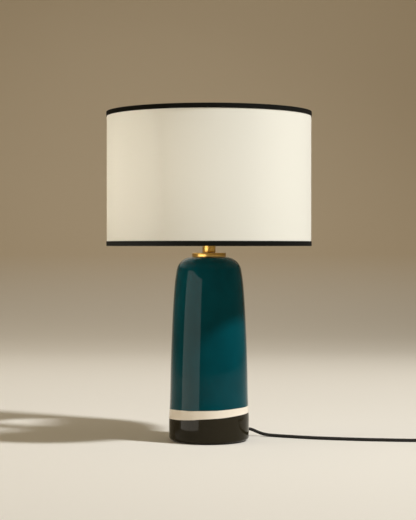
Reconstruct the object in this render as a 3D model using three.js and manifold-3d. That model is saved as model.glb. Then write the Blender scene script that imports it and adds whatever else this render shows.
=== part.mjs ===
// Table lamp with a drum shade. A glazed ceramic body stands on a felted foot and is held by a
// threaded rod, which carries a brass disc, a brass neck and an E27 lampholder. The shade hangs on
// a three-arm carrier that a screw ring clamps to the lampholder. The mains lead leaves the foot
// at the back, runs to an inline switch, and is wound into a coil that ends in a flat plug.
// Millimetres, +Z up. The origin is on the lamp's axis, on the surface that it stands on.

import * as THREE from "three";
import { mergeVertices } from "three/addons/utils/BufferGeometryUtils.js";
import Module from "manifold-3d";

const wasm = await Module();
wasm.setup();

// ---------------------------------------------------------------- driving dimensions

const gap = 0.3; // between two pieces that touch

// ceramic body
const bodyTop = 313;
const bodyWall = 7;
const footRadius = 68.2;
const footHeight = 42; // the foot's side is upright up to here
const footCorner = 5.5; // rounding of the bottom edge
const shoulderRounding = 26.5; // rounding between the side and the top
const topRadius = 29; // flat part of the top, under the brass disc
const recessRadius = 60; // hollow under the body's floor
const recessHeight = 46;
const floorThickness = 8;

// felt and cover under the foot
const feltThickness = 1.5;
const coverThickness = 2;

// threaded rod and what it clamps
const rodRadius = 5;
const rodBore = 3.6;
const washerRadius = 16;
const washerThickness = 2;
const nutAcrossFlats = 17;
const nutThickness = 6;
const rodOverhang = 1.6; // past the nut below, and past the lampholder's floor above

// brass disc and neck
const discRadius = 29;
const discThickness = 7;
const discEdge = 0.8; // eased edges
const neckRadius = 11.2;
const neckWall = 1.5;
const neckLength = 24.5;

// lampholder
const capRadius = 21.5;
const capHeight = 27;
const capWall = 4.3;
const capFloor = 5;
const skirtRadius = 19.9;
const skirtHeight = 36;
const skirtWall = 2;
const shoulderWidth = 3.1; // ledge that the shade carrier rests on
const shoulderThickness = 2;
const coreBelow = 10; // how far the porcelain core reaches down into the cap
const coreAbove = 4.6;
const sleeveWall = 0.6;
const sleeveHeight = 26;
const contactRadius = 4;
const contactThickness = 1.2;
const terminalSize = [6, 7, 6];
const terminalOffset = 8.5;
const terminalScrewRadius = 1.8;
const terminalScrewLength = 2.2;
const wireRadius = 0.9;

// bulb
const bulbRadius = 30;
const bulbLength = 108;
const bulbCapRadius = 13.1;
const bulbCapHeight = 20.3;
const bulbCapWall = 0.5;
const glassWall = 1;
const tipThickness = 2;
const tipRadius = 4.5;
const insulatorHeight = 4;
const sleeveClearance = 0.5;

// shade
const shadeRadius = 175; // over the trims
const shadeHeight = 228;
const shadeWall = 1;
const trimHeight = 8;
const trimThickness = 0.5;
const ringWire = 1.5; // radius of the shade's wire rings and arms
const carrierRise = 43; // from the shade's lower rim up to the carrier
const carrierRadius = 27;
const carrierThickness = 1.5;
const armCount = 3;
const screwRingRadius = 27;
const screwRingHeight = 6;

// mains lead
const cordRadius = 2.75;
const cordRest = cordRadius + 0.1; // height of the lead's centre where it lies
const cordSides = 8;
const cordStep = 14; // length of one step of the lead's tube
const bushAngle = 38; // degrees round from +X, towards the back
const bushHeight = 13.5;
const bushNeck = 4.6;
const bushFlange = 6.5;
const bushFlangeThickness = 2.5;
const bootLength = 13.3;
const bootRoot = 5.2; // the boot's radius at its flange and at its tip
const bootTip = 3.9;
const bushInside = 5; // how far the neck stands inside the foot's wall
const bushNutThickness = 2.6;
const bushNutAcrossFlats = 14;
const leadBend = 18; // bend of the lead from the bush up into the rod

// coil of the lead and its ties
const coilCentre = [432.5, 45];
const coilOuter = 41.5; // radius of the outermost turn
const coilPitch = 5.7;
const coilTurnsPerLayer = 3.0486;
const coilLayer = 5.6; // height between the two layers
const coilLift = 1.5; // under the lowest turn, for the ties
const coilMargin = 0.2;
const tieWidth = 8;
const tieThickness = 1;
const tieAngles = [120, 240];

// inline switch
const switchCentre = [413, -26];
const switchLength = 62;
const switchWidth = 25;
const switchHeight = 15;
const switchCorner = 7;
const switchWall = 2;
const rockerLength = 20; // length and width of its window
const rockerWidth = 10.6;
const rockerPivot = 10.8; // height of its pivot
const rockerTilt = 8; // degrees each way
const rockerRise = 5.2; // its ends above the pivot
const rockerDip = 3.4; // its middle above the pivot
const rockerKeel = 2.2; // its underside below the pivot

// plug
const plugPlace = [469.4, 131.5];
const plugAngle = 60; // degrees, the way that it points
const plugHeight = 13.7;
const plugWidth = 35.3;
const plugLength = 36;
const plugBevel = 2;
const plugBoot = 14;
const plugBootRoot = 5;
const plugBootTip = 3.7;
const pinRadius = 2;
const pinLength = 19;
const pinSpacing = 18.6;
const pinDepth = 10; // inside the plug

// ---------------------------------------------------------------- finishes

function finish(color, roughness, metalness = 0) {
  return new THREE.MeshStandardMaterial({ color, roughness, metalness });
}

const glaze = finish(0x00464a, 0.1);
const felt = finish(0x1d1b19, 0.95);
const board = finish(0x5b4636, 0.85);
const steel = finish(0xa9abad, 0.4, 1);
const rubber = finish(0x1a1a1a, 0.8);
const brass = finish(0xc89646, 0.28, 1);
const blackPlastic = finish(0x161412, 0.45);
const porcelain = finish(0xe9e6dd, 0.25);
const nickel = finish(0xc9c5bc, 0.3, 1);
const opalGlass = finish(0xf2efe8, 0.3);
const shadeCloth = finish(0xe6dcc4, 0.9);
const trimCloth = finish(0x161412, 0.9);
const whiteWire = finish(0xe8e6e0, 0.5);
const braid = finish(0x151311, 0.9);
const brownWire = finish(0x5a3320, 0.5);
const blueWire = finish(0x2c4f86, 0.5);

// ---------------------------------------------------------------- shapes

const bodySegments = 40;
const shadeSegments = 48;
const smallSegments = 20;
const radians = THREE.MathUtils.degToRad;

const lamp = new THREE.Group();

function piece(name, geometry, material, parent = lamp) {
  const mesh = new THREE.Mesh(geometry, material);
  mesh.name = name;
  parent.add(mesh);
  return mesh;
}

// A solid of revolution about +Z. The outline's [radius, height] points run round the material
// with the outer side going up.
function turned(outline, segments = smallSegments) {
  const points = outline.map(([r, z]) => new THREE.Vector2(r, z));
  return new THREE.LatheGeometry(points, segments).rotateX(Math.PI / 2);
}

function ringOutline(inner, outer, bottom, top) {
  return [[inner, bottom], [outer, bottom], [outer, top], [inner, top], [inner, bottom]];
}

function discOutline(radius, bottom, top) {
  return [[0, bottom], [radius, bottom], [radius, top], [0, top]];
}

// Points on an arc, from one angle to another in degrees.
function arc(centreX, centreY, radius, from, to, steps) {
  const points = [];
  for (let i = 0; i <= steps; i += 1) {
    const angle = radians(from + ((to - from) * i) / steps);
    points.push([centreX + radius * Math.cos(angle), centreY + radius * Math.sin(angle)]);
  }
  return points;
}

// A round bar or lead that follows a smooth curve through the points.
function bar(points, radius, sides, step) {
  const path = new THREE.CatmullRomCurve3(points.map((p) => new THREE.Vector3(...p)), false, "centripetal");
  const section = new THREE.Shape();
  section.absarc(0, 0, radius, 0, 2 * Math.PI, false);
  const steps = Math.ceil(path.getLength() / step);
  return new THREE.ExtrudeGeometry(section, {
    steps,
    curveSegments: sides / 2,
    extrudePath: path,
  });
}

// A plate from a flat outline in X and Y, standing up from z = 0.
function plate(shape, height, curveSegments = 6) {
  return new THREE.ExtrudeGeometry(shape, { depth: height, bevelEnabled: false, curveSegments });
}

function hexNut(acrossFlats, boreRadius, thickness) {
  const corner = acrossFlats / 2 / Math.cos(Math.PI / 6);
  const shape = new THREE.Shape(arc(0, 0, corner, 0, 300, 5).map((p) => new THREE.Vector2(...p)));
  const bore = new THREE.Path();
  bore.absarc(0, 0, boreRadius, 0, 2 * Math.PI, true);
  shape.holes.push(bore);
  return plate(shape, thickness, smallSegments / 2);
}

function roundedRectangle(length, width, corner) {
  const x = length / 2;
  const y = width / 2;
  const shape = new THREE.Shape();
  shape.moveTo(-x + corner, -y);
  shape.lineTo(x - corner, -y);
  shape.absarc(x - corner, -y + corner, corner, -Math.PI / 2, 0, false);
  shape.lineTo(x, y - corner);
  shape.absarc(x - corner, y - corner, corner, 0, Math.PI / 2, false);
  shape.lineTo(-x + corner, y);
  shape.absarc(-x + corner, y - corner, corner, Math.PI / 2, Math.PI, false);
  shape.lineTo(-x, -y + corner);
  shape.absarc(-x + corner, -y + corner, corner, Math.PI, 1.5 * Math.PI, false);
  return shape;
}

function asSolid(geometry) {
  const bare = geometry.clone();
  bare.deleteAttribute("normal");
  bare.deleteAttribute("uv");
  const merged = mergeVertices(bare, 1e-3);
  return new wasm.Manifold(
    new wasm.Mesh({
      numProp: 3,
      vertProperties: new Float32Array(merged.attributes.position.array),
      triVerts: new Uint32Array(merged.index.array),
    }),
  );
}

function asGeometry(manifold) {
  const mesh = manifold.getMesh();
  const geometry = new THREE.BufferGeometry();
  geometry.setAttribute("position", new THREE.BufferAttribute(mesh.vertProperties, 3));
  geometry.setIndex(new THREE.BufferAttribute(mesh.triVerts, 1));
  geometry.computeVertexNormals();
  return geometry;
}

function cut(geometry, ...cutters) {
  const left = cutters.reduce((body, cutter) => body.subtract(asSolid(cutter)), asSolid(geometry));
  return asGeometry(left);
}

// A round cutter along +X through a point, as long as asked each way.
function crossBore(radius, halfLength, x, y, z) {
  return new THREE.CylinderGeometry(radius, radius, 2 * halfLength, 16)
    .rotateZ(Math.PI / 2)
    .translate(x, y, z);
}

// ---------------------------------------------------------------- ceramic body

const bodyBottom = feltThickness + gap;
const rodHole = rodRadius + gap;

// Side of the body, as [share of its height, share of its taper] between the foot and the shoulder.
const sideShape = [[0.05, 0.07], [0.14, 0.14], [0.33, 0.21], [0.56, 0.36], [0.8, 0.59], [0.93, 0.8]];
const shoulderStart = 8; // degrees, where the side runs into the shoulder's arc
const shoulderCentre = [topRadius, bodyTop - shoulderRounding];

function bodySide(inset, sideSteps, shoulderSteps) {
  const rounding = shoulderRounding - inset;
  const shoulder = arc(...shoulderCentre, rounding, shoulderStart, 90, shoulderSteps);
  const [startRadius, startHeight] = shoulder[0];
  const foot = footRadius - inset;
  const taper = foot - startRadius;
  const rise = startHeight - footHeight;
  const waypoints = [
    [foot, footHeight],
    ...sideShape.map(([height, share]) => [foot - share * taper, footHeight + height * rise]),
    shoulder[0],
  ];
  const side = new THREE.SplineCurve(waypoints.map((p) => new THREE.Vector2(...p))).getPoints(sideSteps);
  return [...side.map((p) => [p.x, p.y]), ...shoulder.slice(1)];
}

const cavityFloor = recessHeight + floorThickness;
const bodyOutline = [
  [recessRadius, bodyBottom],
  ...arc(footRadius - footCorner, bodyBottom + footCorner, footCorner, -90, 0, 4),
  ...bodySide(0, 10, 6),
  [rodHole, bodyTop],
  [rodHole, bodyTop - bodyWall],
  ...bodySide(bodyWall, 5, 3).filter((point) => point[1] > cavityFloor + gap).reverse(),
  [footRadius - bodyWall, cavityFloor],
  [rodHole, cavityFloor],
  [rodHole, recessHeight],
  [recessRadius, recessHeight],
  [recessRadius, bodyBottom],
];
const footWall = footRadius - recessRadius;
const cordHole = crossBore(bushNeck + gap, footWall, footRadius - footWall / 2, 0, bushHeight);
cordHole.rotateZ(radians(bushAngle));
piece("ceramic_body", cut(turned(bodyOutline, bodySegments), cordHole), glaze);

// ---------------------------------------------------------------- under the foot

piece("felt_pad", turned(discOutline(footRadius - footCorner, 0, feltThickness), bodySegments), felt);
const coverOutline = discOutline(recessRadius - gap, bodyBottom, bodyBottom + coverThickness);
piece("base_cover", turned(coverOutline, bodySegments), board);

// ---------------------------------------------------------------- rod and what it clamps

const discBottom = bodyTop + gap;
const discTop = discBottom + discThickness;
const neckBottom = discTop + gap;
const neckTop = neckBottom + neckLength;
const capBottom = neckTop + gap;
const capTop = capBottom + capHeight;

const rubberTop = recessHeight - gap;
const steelTop = rubberTop - washerThickness - gap;
const nutTop = steelTop - washerThickness - gap;
const rodBottom = nutTop - nutThickness - rodOverhang;
const rodTop = capBottom + capFloor + 2 * rodOverhang;

function washerAt(top, radius) {
  return turned(ringOutline(rodHole, radius, top - washerThickness, top));
}

piece("rubber_washer", washerAt(rubberTop, washerRadius), rubber);
piece("steel_washer", washerAt(steelTop, washerRadius - 1), steel);
const rodNut = piece("rod_nut", hexNut(nutAcrossFlats, rodHole, nutThickness), steel);
rodNut.position.z = nutTop - nutThickness;
piece("threaded_rod", turned(ringOutline(rodBore, rodRadius, rodBottom, rodTop)), steel);

const discOutlinePoints = [
  [rodHole, discBottom],
  [discRadius - discEdge, discBottom],
  [discRadius, discBottom + discEdge],
  [discRadius, discTop - discEdge],
  [discRadius - discEdge, discTop],
  [rodHole, discTop],
  [rodHole, discBottom],
];
piece("brass_disc", turned(discOutlinePoints, bodySegments), brass);
piece("neck_tube", turned(ringOutline(neckRadius - neckWall, neckRadius, neckBottom, neckTop)), brass);

// ---------------------------------------------------------------- lampholder

const holder = new THREE.Group();
lamp.add(holder);

const capInner = capRadius - capWall;
const capCurve = 12.6; // height of the cap's rounded lower part
const capOutline = [
  [rodHole, capBottom],
  [neckRadius + 1.8, capBottom],
  [capRadius - 4, capBottom + capCurve / 3],
  [capRadius, capBottom + capCurve],
  [capRadius, capTop],
  [capInner, capTop],
  [capInner, capBottom + capCurve + 1],
  [neckRadius, capBottom + capFloor],
  [rodHole, capBottom + capFloor],
  [rodHole, capBottom],
];
piece("holder_cap", turned(capOutline), blackPlastic, holder);

const skirtBottom = capTop + gap;
const skirtTop = skirtBottom + skirtHeight;
const ledgeTop = skirtBottom + shoulderThickness;
const skirtInner = skirtRadius - skirtWall;
const skirtOutline = [
  [skirtInner, skirtBottom],
  [skirtRadius + shoulderWidth, skirtBottom],
  [skirtRadius + shoulderWidth, ledgeTop],
  [skirtRadius, ledgeTop],
  [skirtRadius, skirtTop],
  [skirtInner, skirtTop],
  [skirtInner, skirtBottom],
];
piece("holder_skirt", turned(skirtOutline), blackPlastic, holder);

const coreBottom = capTop - coreBelow;
const coreTop = skirtBottom + coreAbove;
const coreRadius = Math.min(capInner, skirtInner) - 2 * gap;
piece("holder_core", turned(discOutline(coreRadius, coreBottom, coreTop)), porcelain, holder);

const sleeveBottom = coreTop + gap;
const sleeveInner = bulbCapRadius + sleeveClearance;
const sleeveOutline = ringOutline(sleeveInner, sleeveInner + sleeveWall, sleeveBottom, sleeveBottom + sleeveHeight);
piece("holder_sleeve", turned(sleeveOutline), nickel, holder);

const contactTop = sleeveBottom + contactThickness;
piece("centre_contact", turned(discOutline(contactRadius, sleeveBottom, contactTop), 12), brass, holder);

const [terminalLength, terminalWidth, terminalHeight] = terminalSize;
const terminalMiddle = coreBottom - gap - terminalHeight / 2;
const leadTop = rodTop + rodOverhang;
[[1, brownWire], [-1, blueWire]].forEach(([side, wireColour], index) => {
  const number = index + 1;
  const block = new THREE.BoxGeometry(terminalLength, terminalWidth, terminalHeight);
  const terminal = piece(`terminal_${number}`, block, brass, holder);
  terminal.position.set(side * terminalOffset, 0, terminalMiddle);

  const screwBlank = new THREE.CylinderGeometry(terminalScrewRadius, terminalScrewRadius, terminalScrewLength, 12);
  const screw = piece(`terminal_screw_${number}`, screwBlank, steel, holder);
  const screwReach = terminalWidth / 2 + gap + terminalScrewLength / 2;
  screw.position.set(side * terminalOffset, -screwReach, terminalMiddle);

  const wireEnd = terminalOffset - terminalLength / 2 - gap;
  const wireRoute = [
    [side * 1.3, 0, leadTop + gap],
    [side * 1.5, 0, leadTop + gap + 1],
    [side * (wireEnd - 2), 0, terminalMiddle - 0.4],
    [side * wireEnd, 0, terminalMiddle],
  ];
  piece(`lead_core_${number}`, bar(wireRoute, wireRadius, 6, 1.5), wireColour, holder);
});

// ---------------------------------------------------------------- bulb

const tipBottom = contactTop + gap;
const tipTop = tipBottom + tipThickness;
piece("bulb_contact", turned(discOutline(tipRadius, tipBottom, tipTop), 12), nickel);

const insulatorBottom = tipTop + gap;
const insulatorTop = insulatorBottom + insulatorHeight;
const insulatorOutline = [
  [0, insulatorBottom],
  [tipRadius + 1, insulatorBottom],
  [bulbCapRadius - 3.9, insulatorTop],
  [0, insulatorTop],
];
piece("bulb_insulator", turned(insulatorOutline, 16), blackPlastic);

const bulbCapBottom = insulatorTop + gap;
const bulbCapTop = bulbCapBottom + bulbCapHeight;
const bulbCapOutline = [
  [bulbCapRadius - 3.5, bulbCapBottom],
  [bulbCapRadius - 2.1, bulbCapBottom],
  [bulbCapRadius, bulbCapBottom + 2.3],
  [bulbCapRadius, bulbCapTop],
  [bulbCapRadius - bulbCapWall, bulbCapTop],
  [bulbCapRadius - bulbCapWall, bulbCapBottom + 2.5],
  [bulbCapRadius - 2.3, bulbCapBottom + bulbCapWall],
  [bulbCapRadius - 3.5, bulbCapBottom + bulbCapWall],
  [bulbCapRadius - 3.5, bulbCapBottom],
];
piece("bulb_cap", turned(bulbCapOutline), nickel);

// The glass is a globe whose neck narrows into the cap.
const globeHeight = tipBottom + bulbLength - bulbRadius;
const neckTurn = -35; // degrees, where the neck leaves the globe
const glassBottom = bulbCapBottom + 6;
const neckOuter = bulbCapRadius - bulbCapWall - gap;

function glassSide(inset) {
  const globe = arc(0, globeHeight, bulbRadius - inset, neckTurn, 90, 7);
  const join = new THREE.Vector2(...globe[0]);
  const reach = (join.y - bulbCapTop) * 0.45;
  const away = new THREE.Vector2(-Math.sin(radians(-neckTurn)), -Math.cos(radians(-neckTurn)));
  const throat = new THREE.Vector2(neckOuter - inset, bulbCapTop + gap);
  const curve = new THREE.CubicBezierCurve(
    throat,
    throat.clone().add(new THREE.Vector2(0, reach)),
    join.clone().addScaledVector(away, reach),
    join,
  );
  const sides = [[neckOuter - inset, glassBottom], ...curve.getPoints(4).map((p) => [p.x, p.y])];
  return [...sides, ...globe.slice(1, -1), [0, globeHeight + bulbRadius - inset]];
}

piece("bulb_glass", turned([...glassSide(glassWall).reverse(), ...glassSide(0)]), opalGlass);

// ---------------------------------------------------------------- shade

const carrierBottom = ledgeTop + gap;
const carrierTop = carrierBottom + carrierThickness;
const shadeBottom = carrierBottom - carrierRise;
const shadeTop = shadeBottom + shadeHeight;
const drumRadius = shadeRadius - trimThickness - gap;
const drumInner = drumRadius - shadeWall;
const ringRadius = drumInner - gap - ringWire; // centre of the wire rings
const trimInner = ringRadius - ringWire - gap - trimThickness;
const drumInset = trimThickness + gap;

const drumOutline = ringOutline(drumInner, drumRadius, shadeBottom + drumInset, shadeTop - drumInset);
piece("shade_drum", turned(drumOutline, shadeSegments), shadeCloth);

// A binding folded over the rim: its lip outside, its web over the edge and its lip inside.
function trimOutline(rim, up) {
  const outline = [
    [trimInner, rim],
    [shadeRadius, rim],
    [shadeRadius, rim + up * trimHeight],
    [shadeRadius - trimThickness, rim + up * trimHeight],
    [shadeRadius - trimThickness, rim + up * trimThickness],
    [trimInner + trimThickness, rim + up * trimThickness],
    [trimInner + trimThickness, rim + up * (trimHeight - 1)],
    [trimInner, rim + up * (trimHeight - 1)],
    [trimInner, rim],
  ];
  return up > 0 ? outline : outline.reverse();
}

piece("top_trim", turned(trimOutline(shadeTop, -1), shadeSegments), trimCloth);
piece("bottom_trim", turned(trimOutline(shadeBottom, 1), shadeSegments), trimCloth);

const ringInset = drumInset + ringWire + gap;
const topRingHeight = shadeTop - ringInset;
const bottomRingHeight = shadeBottom + ringInset;
function wireRing(height) {
  const section = arc(ringRadius, height, ringWire, 0, 360, 6);
  return turned([...section.slice(0, -1), section[0]], shadeSegments);
}
piece("top_ring", wireRing(topRingHeight), whiteWire);
piece("bottom_ring", wireRing(bottomRingHeight), whiteWire);

const carrierHole = skirtRadius + gap;
const carrierOutline = ringOutline(carrierHole, carrierRadius, carrierBottom, carrierTop);
piece("carrier_washer", turned(carrierOutline), whiteWire);

// Each arm leaves the washer level, slopes down, and drops onto the lower ring behind the trim.
const armFoot = bottomRingHeight + ringWire + gap;
const armDrop = 7.2;
const armBend = 7.4;
const armMiddle = (carrierBottom + carrierTop) / 2;
const armRoute = [
  [carrierRadius + gap, 0, armMiddle],
  [carrierRadius + 10, 0, armMiddle],
  [carrierRadius + 18, 0, armMiddle - 1.2],
  [ringRadius - armBend - 8, 0, armFoot + armDrop + 4.8],
  [ringRadius - armBend, 0, armFoot + armDrop + 2.6],
  [ringRadius - 1.2, 0, armFoot + armDrop - 0.8],
  [ringRadius, 0, armFoot + 3.4],
  [ringRadius, 0, armFoot],
];
for (let i = 0; i < armCount; i += 1) {
  const arm = piece(`carrier_arm_${i + 1}`, bar(armRoute, ringWire, 8, 5), whiteWire);
  arm.rotation.z = radians(90 + (360 * i) / armCount);
}

const screwRingBottom = carrierTop + gap;
const screwRingOutline = ringOutline(carrierHole, screwRingRadius, screwRingBottom, screwRingBottom + screwRingHeight);
piece("shade_ring", turned(screwRingOutline), blackPlastic);

// ---------------------------------------------------------------- lead inside the lamp

// The bush and its nut are turned along +X, outwards from the lamp's axis.
const bushPlace = new THREE.Group();
bushPlace.position.z = bushHeight;
bushPlace.rotation.z = radians(bushAngle);
lamp.add(bushPlace);

const bushFace = footRadius + gap;
const flangeFace = bushFace + bushFlangeThickness;
const bootFace = flangeFace + bootLength;
const bushBore = cordRadius + gap;
const bushOutline = [
  [bushBore, recessRadius - bushInside],
  [bushNeck, recessRadius - bushInside],
  [bushNeck, bushFace],
  [bushFlange, bushFace],
  [bushFlange, flangeFace - 0.8],
  [bushFlange - 0.8, flangeFace],
  [bootRoot, flangeFace],
  [bootTip, bootFace],
  [bushBore, bootFace],
  [bushBore, recessRadius - bushInside],
];
piece("cord_bush", turned(bushOutline, 20).rotateY(Math.PI / 2), rubber, bushPlace);

const nutReach = Math.sqrt(recessRadius ** 2 - (bushNutAcrossFlats / 2 / Math.cos(Math.PI / 6)) ** 2);
const bushNut = piece("bush_nut", hexNut(bushNutAcrossFlats, bushNeck + gap, bushNutThickness), brass, bushPlace);
bushNut.rotation.y = Math.PI / 2;
bushNut.position.x = nutReach - gap - bushNutThickness;

const bendPoints = arc(leadBend, leadBend, leadBend, 270, 180, 4).map(([x, z]) => [x, 0, z]);
const leadEnd = leadTop - bushHeight;
const innerRoute = [
  [bootFace - gap, 0, 0],
  [recessRadius, 0, 0],
  [leadBend + 12, 0, 0],
  ...bendPoints,
  [0, 0, leadBend + 12],
  [0, 0, leadEnd / 2],
  [0, 0, leadEnd],
];
piece("inner_lead", bar(innerRoute, cordRadius, 8, 10), braid, bushPlace);

// ---------------------------------------------------------------- inline switch

const cordBore = cordRadius + gap;
const switchPlace = new THREE.Group();
switchPlace.position.set(...switchCentre, 0);
lamp.add(switchPlace);

const half = switchHeight / 2;
const shellHeight = half - gap / 2;
const shellShape = roundedRectangle(switchLength, switchWidth, switchCorner);
const hollowShape = roundedRectangle(
  switchLength - 2 * switchWall,
  switchWidth - 2 * switchWall,
  switchCorner - switchWall,
);
const endBore = crossBore(cordBore, switchLength, 0, 0, half);

const baseHollow = plate(hollowShape, switchHeight).translate(0, 0, switchWall);
piece("switch_base", cut(plate(shellShape, shellHeight), baseHollow, endBore), blackPlastic, switchPlace);

const coverBottom = half + gap / 2;
const coverHollow = plate(hollowShape, switchHeight).translate(0, 0, -switchWall);
const rockerWindow = new THREE.BoxGeometry(rockerLength, rockerWidth, switchHeight).translate(0, 0, switchHeight);
const coverShell = plate(shellShape, shellHeight).translate(0, 0, coverBottom);
piece("switch_cover", cut(coverShell, coverHollow, endBore, rockerWindow), blackPlastic, switchPlace);

// The rocker's ends are arcs about its pivot, so that it tilts freely in its window.
const rockerReach = rockerLength / 2 - gap;
const endTop = THREE.MathUtils.radToDeg(Math.asin(rockerRise / rockerReach));
const endBottom = THREE.MathUtils.radToDeg(Math.asin(rockerKeel / rockerReach));
const rockerProfile = [
  ...arc(0, 0, rockerReach, -endBottom, endTop, 4),
  [0, rockerDip],
  ...arc(0, 0, rockerReach, 180 - endTop, 180 + endBottom, 4),
];
const rockerShape = new THREE.Shape(rockerProfile.map((p) => new THREE.Vector2(...p)));
const rockerDepth = rockerWidth - 2 * gap;
const rockerBlank = plate(rockerShape, rockerDepth).translate(0, 0, -rockerDepth / 2).rotateX(Math.PI / 2);
const rocker = piece("switch_rocker", rockerBlank, blackPlastic, switchPlace);
rocker.position.z = rockerPivot;
rocker.rotation.y = radians(rockerTilt);

const switchBlade = new THREE.BoxGeometry(16, 4, 0.8).translate(0, 0, switchWall + 2);
piece("switch_blade", switchBlade, nickel, switchPlace);
const switchTerminal = [5, 7, 6];
const switchTerminalOffset = 15;
[-1, 1].forEach((side, index) => {
  const number = index + 1;
  const block = new THREE.BoxGeometry(...switchTerminal);
  const terminal = piece(`switch_terminal_${number}`, block, brass, switchPlace);
  const terminalTop = switchWall + gap + switchTerminal[2];
  terminal.position.set(side * switchTerminalOffset, 0, terminalTop - switchTerminal[2] / 2);

  const screwBlank = new THREE.CylinderGeometry(terminalScrewRadius, terminalScrewRadius, terminalScrewLength, 12);
  const screw = piece(`switch_screw_${number}`, screwBlank.rotateX(Math.PI / 2), steel, switchPlace);
  screw.position.set(side * switchTerminalOffset, 0, terminalTop + gap + terminalScrewLength / 2);
});

// ---------------------------------------------------------------- lead outside the lamp

// The route bends away from the boot, comes down onto the surface, runs past the lamp in a
// shallow curve, and rises again into the switch.
const leadTilt = 12.31; // degrees, at the lead's slanted ends
const endGap = cordRadius * Math.tan(radians(leadTilt)) - gap; // so that a slanted end clears what it meets
const bootEnd = bootFace + endGap;
const leadRoute = [
  [bootEnd * Math.cos(radians(bushAngle)), bootEnd * Math.sin(radians(bushAngle)), bushHeight],
  [73.5, 55.8, 12.1],
  [82.4, 57.4, 8.3],
  [90.4, 56.1, 5.2],
  [96.2, 53.4, 3.9],
  [104.5, 48.3, 3.05],
  [114, 42.6, cordRest],
  [124, 36.9, cordRest],
  [134, 31.7, cordRest],
  [154, 22.1, cordRest],
  [174, 13.3, cordRest],
  [204, 3, cordRest],
  [234, -5.2, cordRest],
  [264, -12.2, cordRest],
  [294, -17.2, cordRest],
  [324, -21.6, cordRest],
  [350, -24.2, cordRest + 0.1],
  [362, -25.2, 4.4],
  [373, -25.8, 6.6],
  [383, -26, half],
  [391, -26, half],
];
piece("cord_lead", bar(leadRoute, cordRadius, cordSides, cordStep), braid);

const linkRoute = [
  [435, -26, half],
  [446, -26, half],
  [454, -25.2, 6.4],
  [461.8, -22.1, 4.5],
  [468.4, -16.4, 3.1],
  [472.8, -8, cordRest],
  [474, 2, cordRest],
  [474, 12, cordRest + 0.2],
  [474, 21.3, cordRest + 0.6],
];
piece("cord_link", bar(linkRoute, cordRadius, cordSides, cordStep), braid);

const tailRoute = [
  [454.3, 89.2, 7.6],
  [453.4, 96.4, 5.6],
  [454.4, 103.6, 4.1],
  [457.2, 110.4, 3.4],
  [461.2, 117.3, 4],
  [465.2, 124.2, 5.7],
  [plugPlace[0] - endGap / 2, plugPlace[1] - endGap, plugHeight / 2],
];
piece("cord_tail", bar(tailRoute, cordRadius, cordSides, cordStep), braid);

// ---------------------------------------------------------------- coil and its ties

const coilInner = coilOuter - coilPitch * coilTurnsPerLayer;
const coilHole = coilInner - cordRadius - coilMargin;
const coilEdge = coilOuter + cordRadius + coilMargin;
const coilBottom = coilLift - gap / 6;
const coilTop = coilBottom + 2 * cordRadius + coilLayer + gap / 3;
const coil = piece("cord_coil", turned(ringOutline(coilHole, coilEdge, coilBottom, coilTop), 40), braid);
coil.position.set(...coilCentre, 0);

// A tie is a flat band round the coil's section.
const tieInnerLeg = Math.sqrt(coilHole ** 2 - (tieWidth / 2) ** 2) - gap;
const tieOuterLeg = coilEdge + gap;
const tieBottomLeg = coilBottom - gap;
const tieTopLeg = coilTop + gap;

function rectangle(Type, x1, z1, x2, z2) {
  const corners = [[x1, z1], [x2, z1], [x2, z2], [x1, z2]];
  return new Type(corners.map((p) => new THREE.Vector2(...p)));
}

const tieShape = rectangle(
  THREE.Shape,
  tieInnerLeg - tieThickness,
  tieBottomLeg - tieThickness,
  tieOuterLeg + tieThickness,
  tieTopLeg + tieThickness,
);
tieShape.holes.push(rectangle(THREE.Path, tieInnerLeg, tieBottomLeg, tieOuterLeg, tieTopLeg));
tieAngles.forEach((angle, index) => {
  const band = plate(tieShape, tieWidth).translate(0, 0, -tieWidth / 2).rotateX(Math.PI / 2);
  const tie = piece(`coil_tie_${index + 1}`, band, rubber);
  tie.position.set(...coilCentre, 0);
  tie.rotation.z = radians(angle);
});

// ---------------------------------------------------------------- plug

// The plug is built along +X from the end of its boot, and turned to lie beside the coil.
const plugRest = new THREE.Group();
plugRest.position.set(...plugPlace, 0);
plugRest.rotation.z = radians(plugAngle);
lamp.add(plugRest);

const plugHalf = plugWidth / 2 - plugBevel;
const plugFront = plugBoot + plugLength;
const plugOutline = [
  [plugBoot, -plugBootRoot + plugBevel],
  [plugBoot + 8, -plugHalf * 0.5],
  [plugFront - 12, -plugHalf],
  [plugFront - plugBevel, -plugHalf],
];
const plugCorners = [...plugOutline, ...plugOutline.map(([x, y]) => [x, -y]).reverse()];
const plugShape = new THREE.Shape(plugCorners.map((p) => new THREE.Vector2(...p)));
const plugBlank = new THREE.ExtrudeGeometry(plugShape, {
  depth: plugHeight - 2 * plugBevel,
  bevelEnabled: true,
  bevelThickness: plugBevel,
  bevelSize: plugBevel,
  bevelSegments: 2,
}).translate(0, 0, plugBevel);
const bootBlank = new THREE.CylinderGeometry(plugBootRoot, plugBootTip, plugBoot + 2 * plugBevel, 16)
  .rotateZ(-Math.PI / 2)
  .translate(plugBoot / 2 + plugBevel, 0, plugHeight / 2);
const pinHoles = [-1, 1].map((side) =>
  crossBore(pinRadius + gap, pinDepth, plugFront, (side * pinSpacing) / 2, plugHeight / 2),
);
const plugMoulding = asGeometry(asSolid(plugBlank).add(asSolid(bootBlank)));
piece("plug_body", cut(plugMoulding, ...pinHoles), blackPlastic, plugRest);

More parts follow.
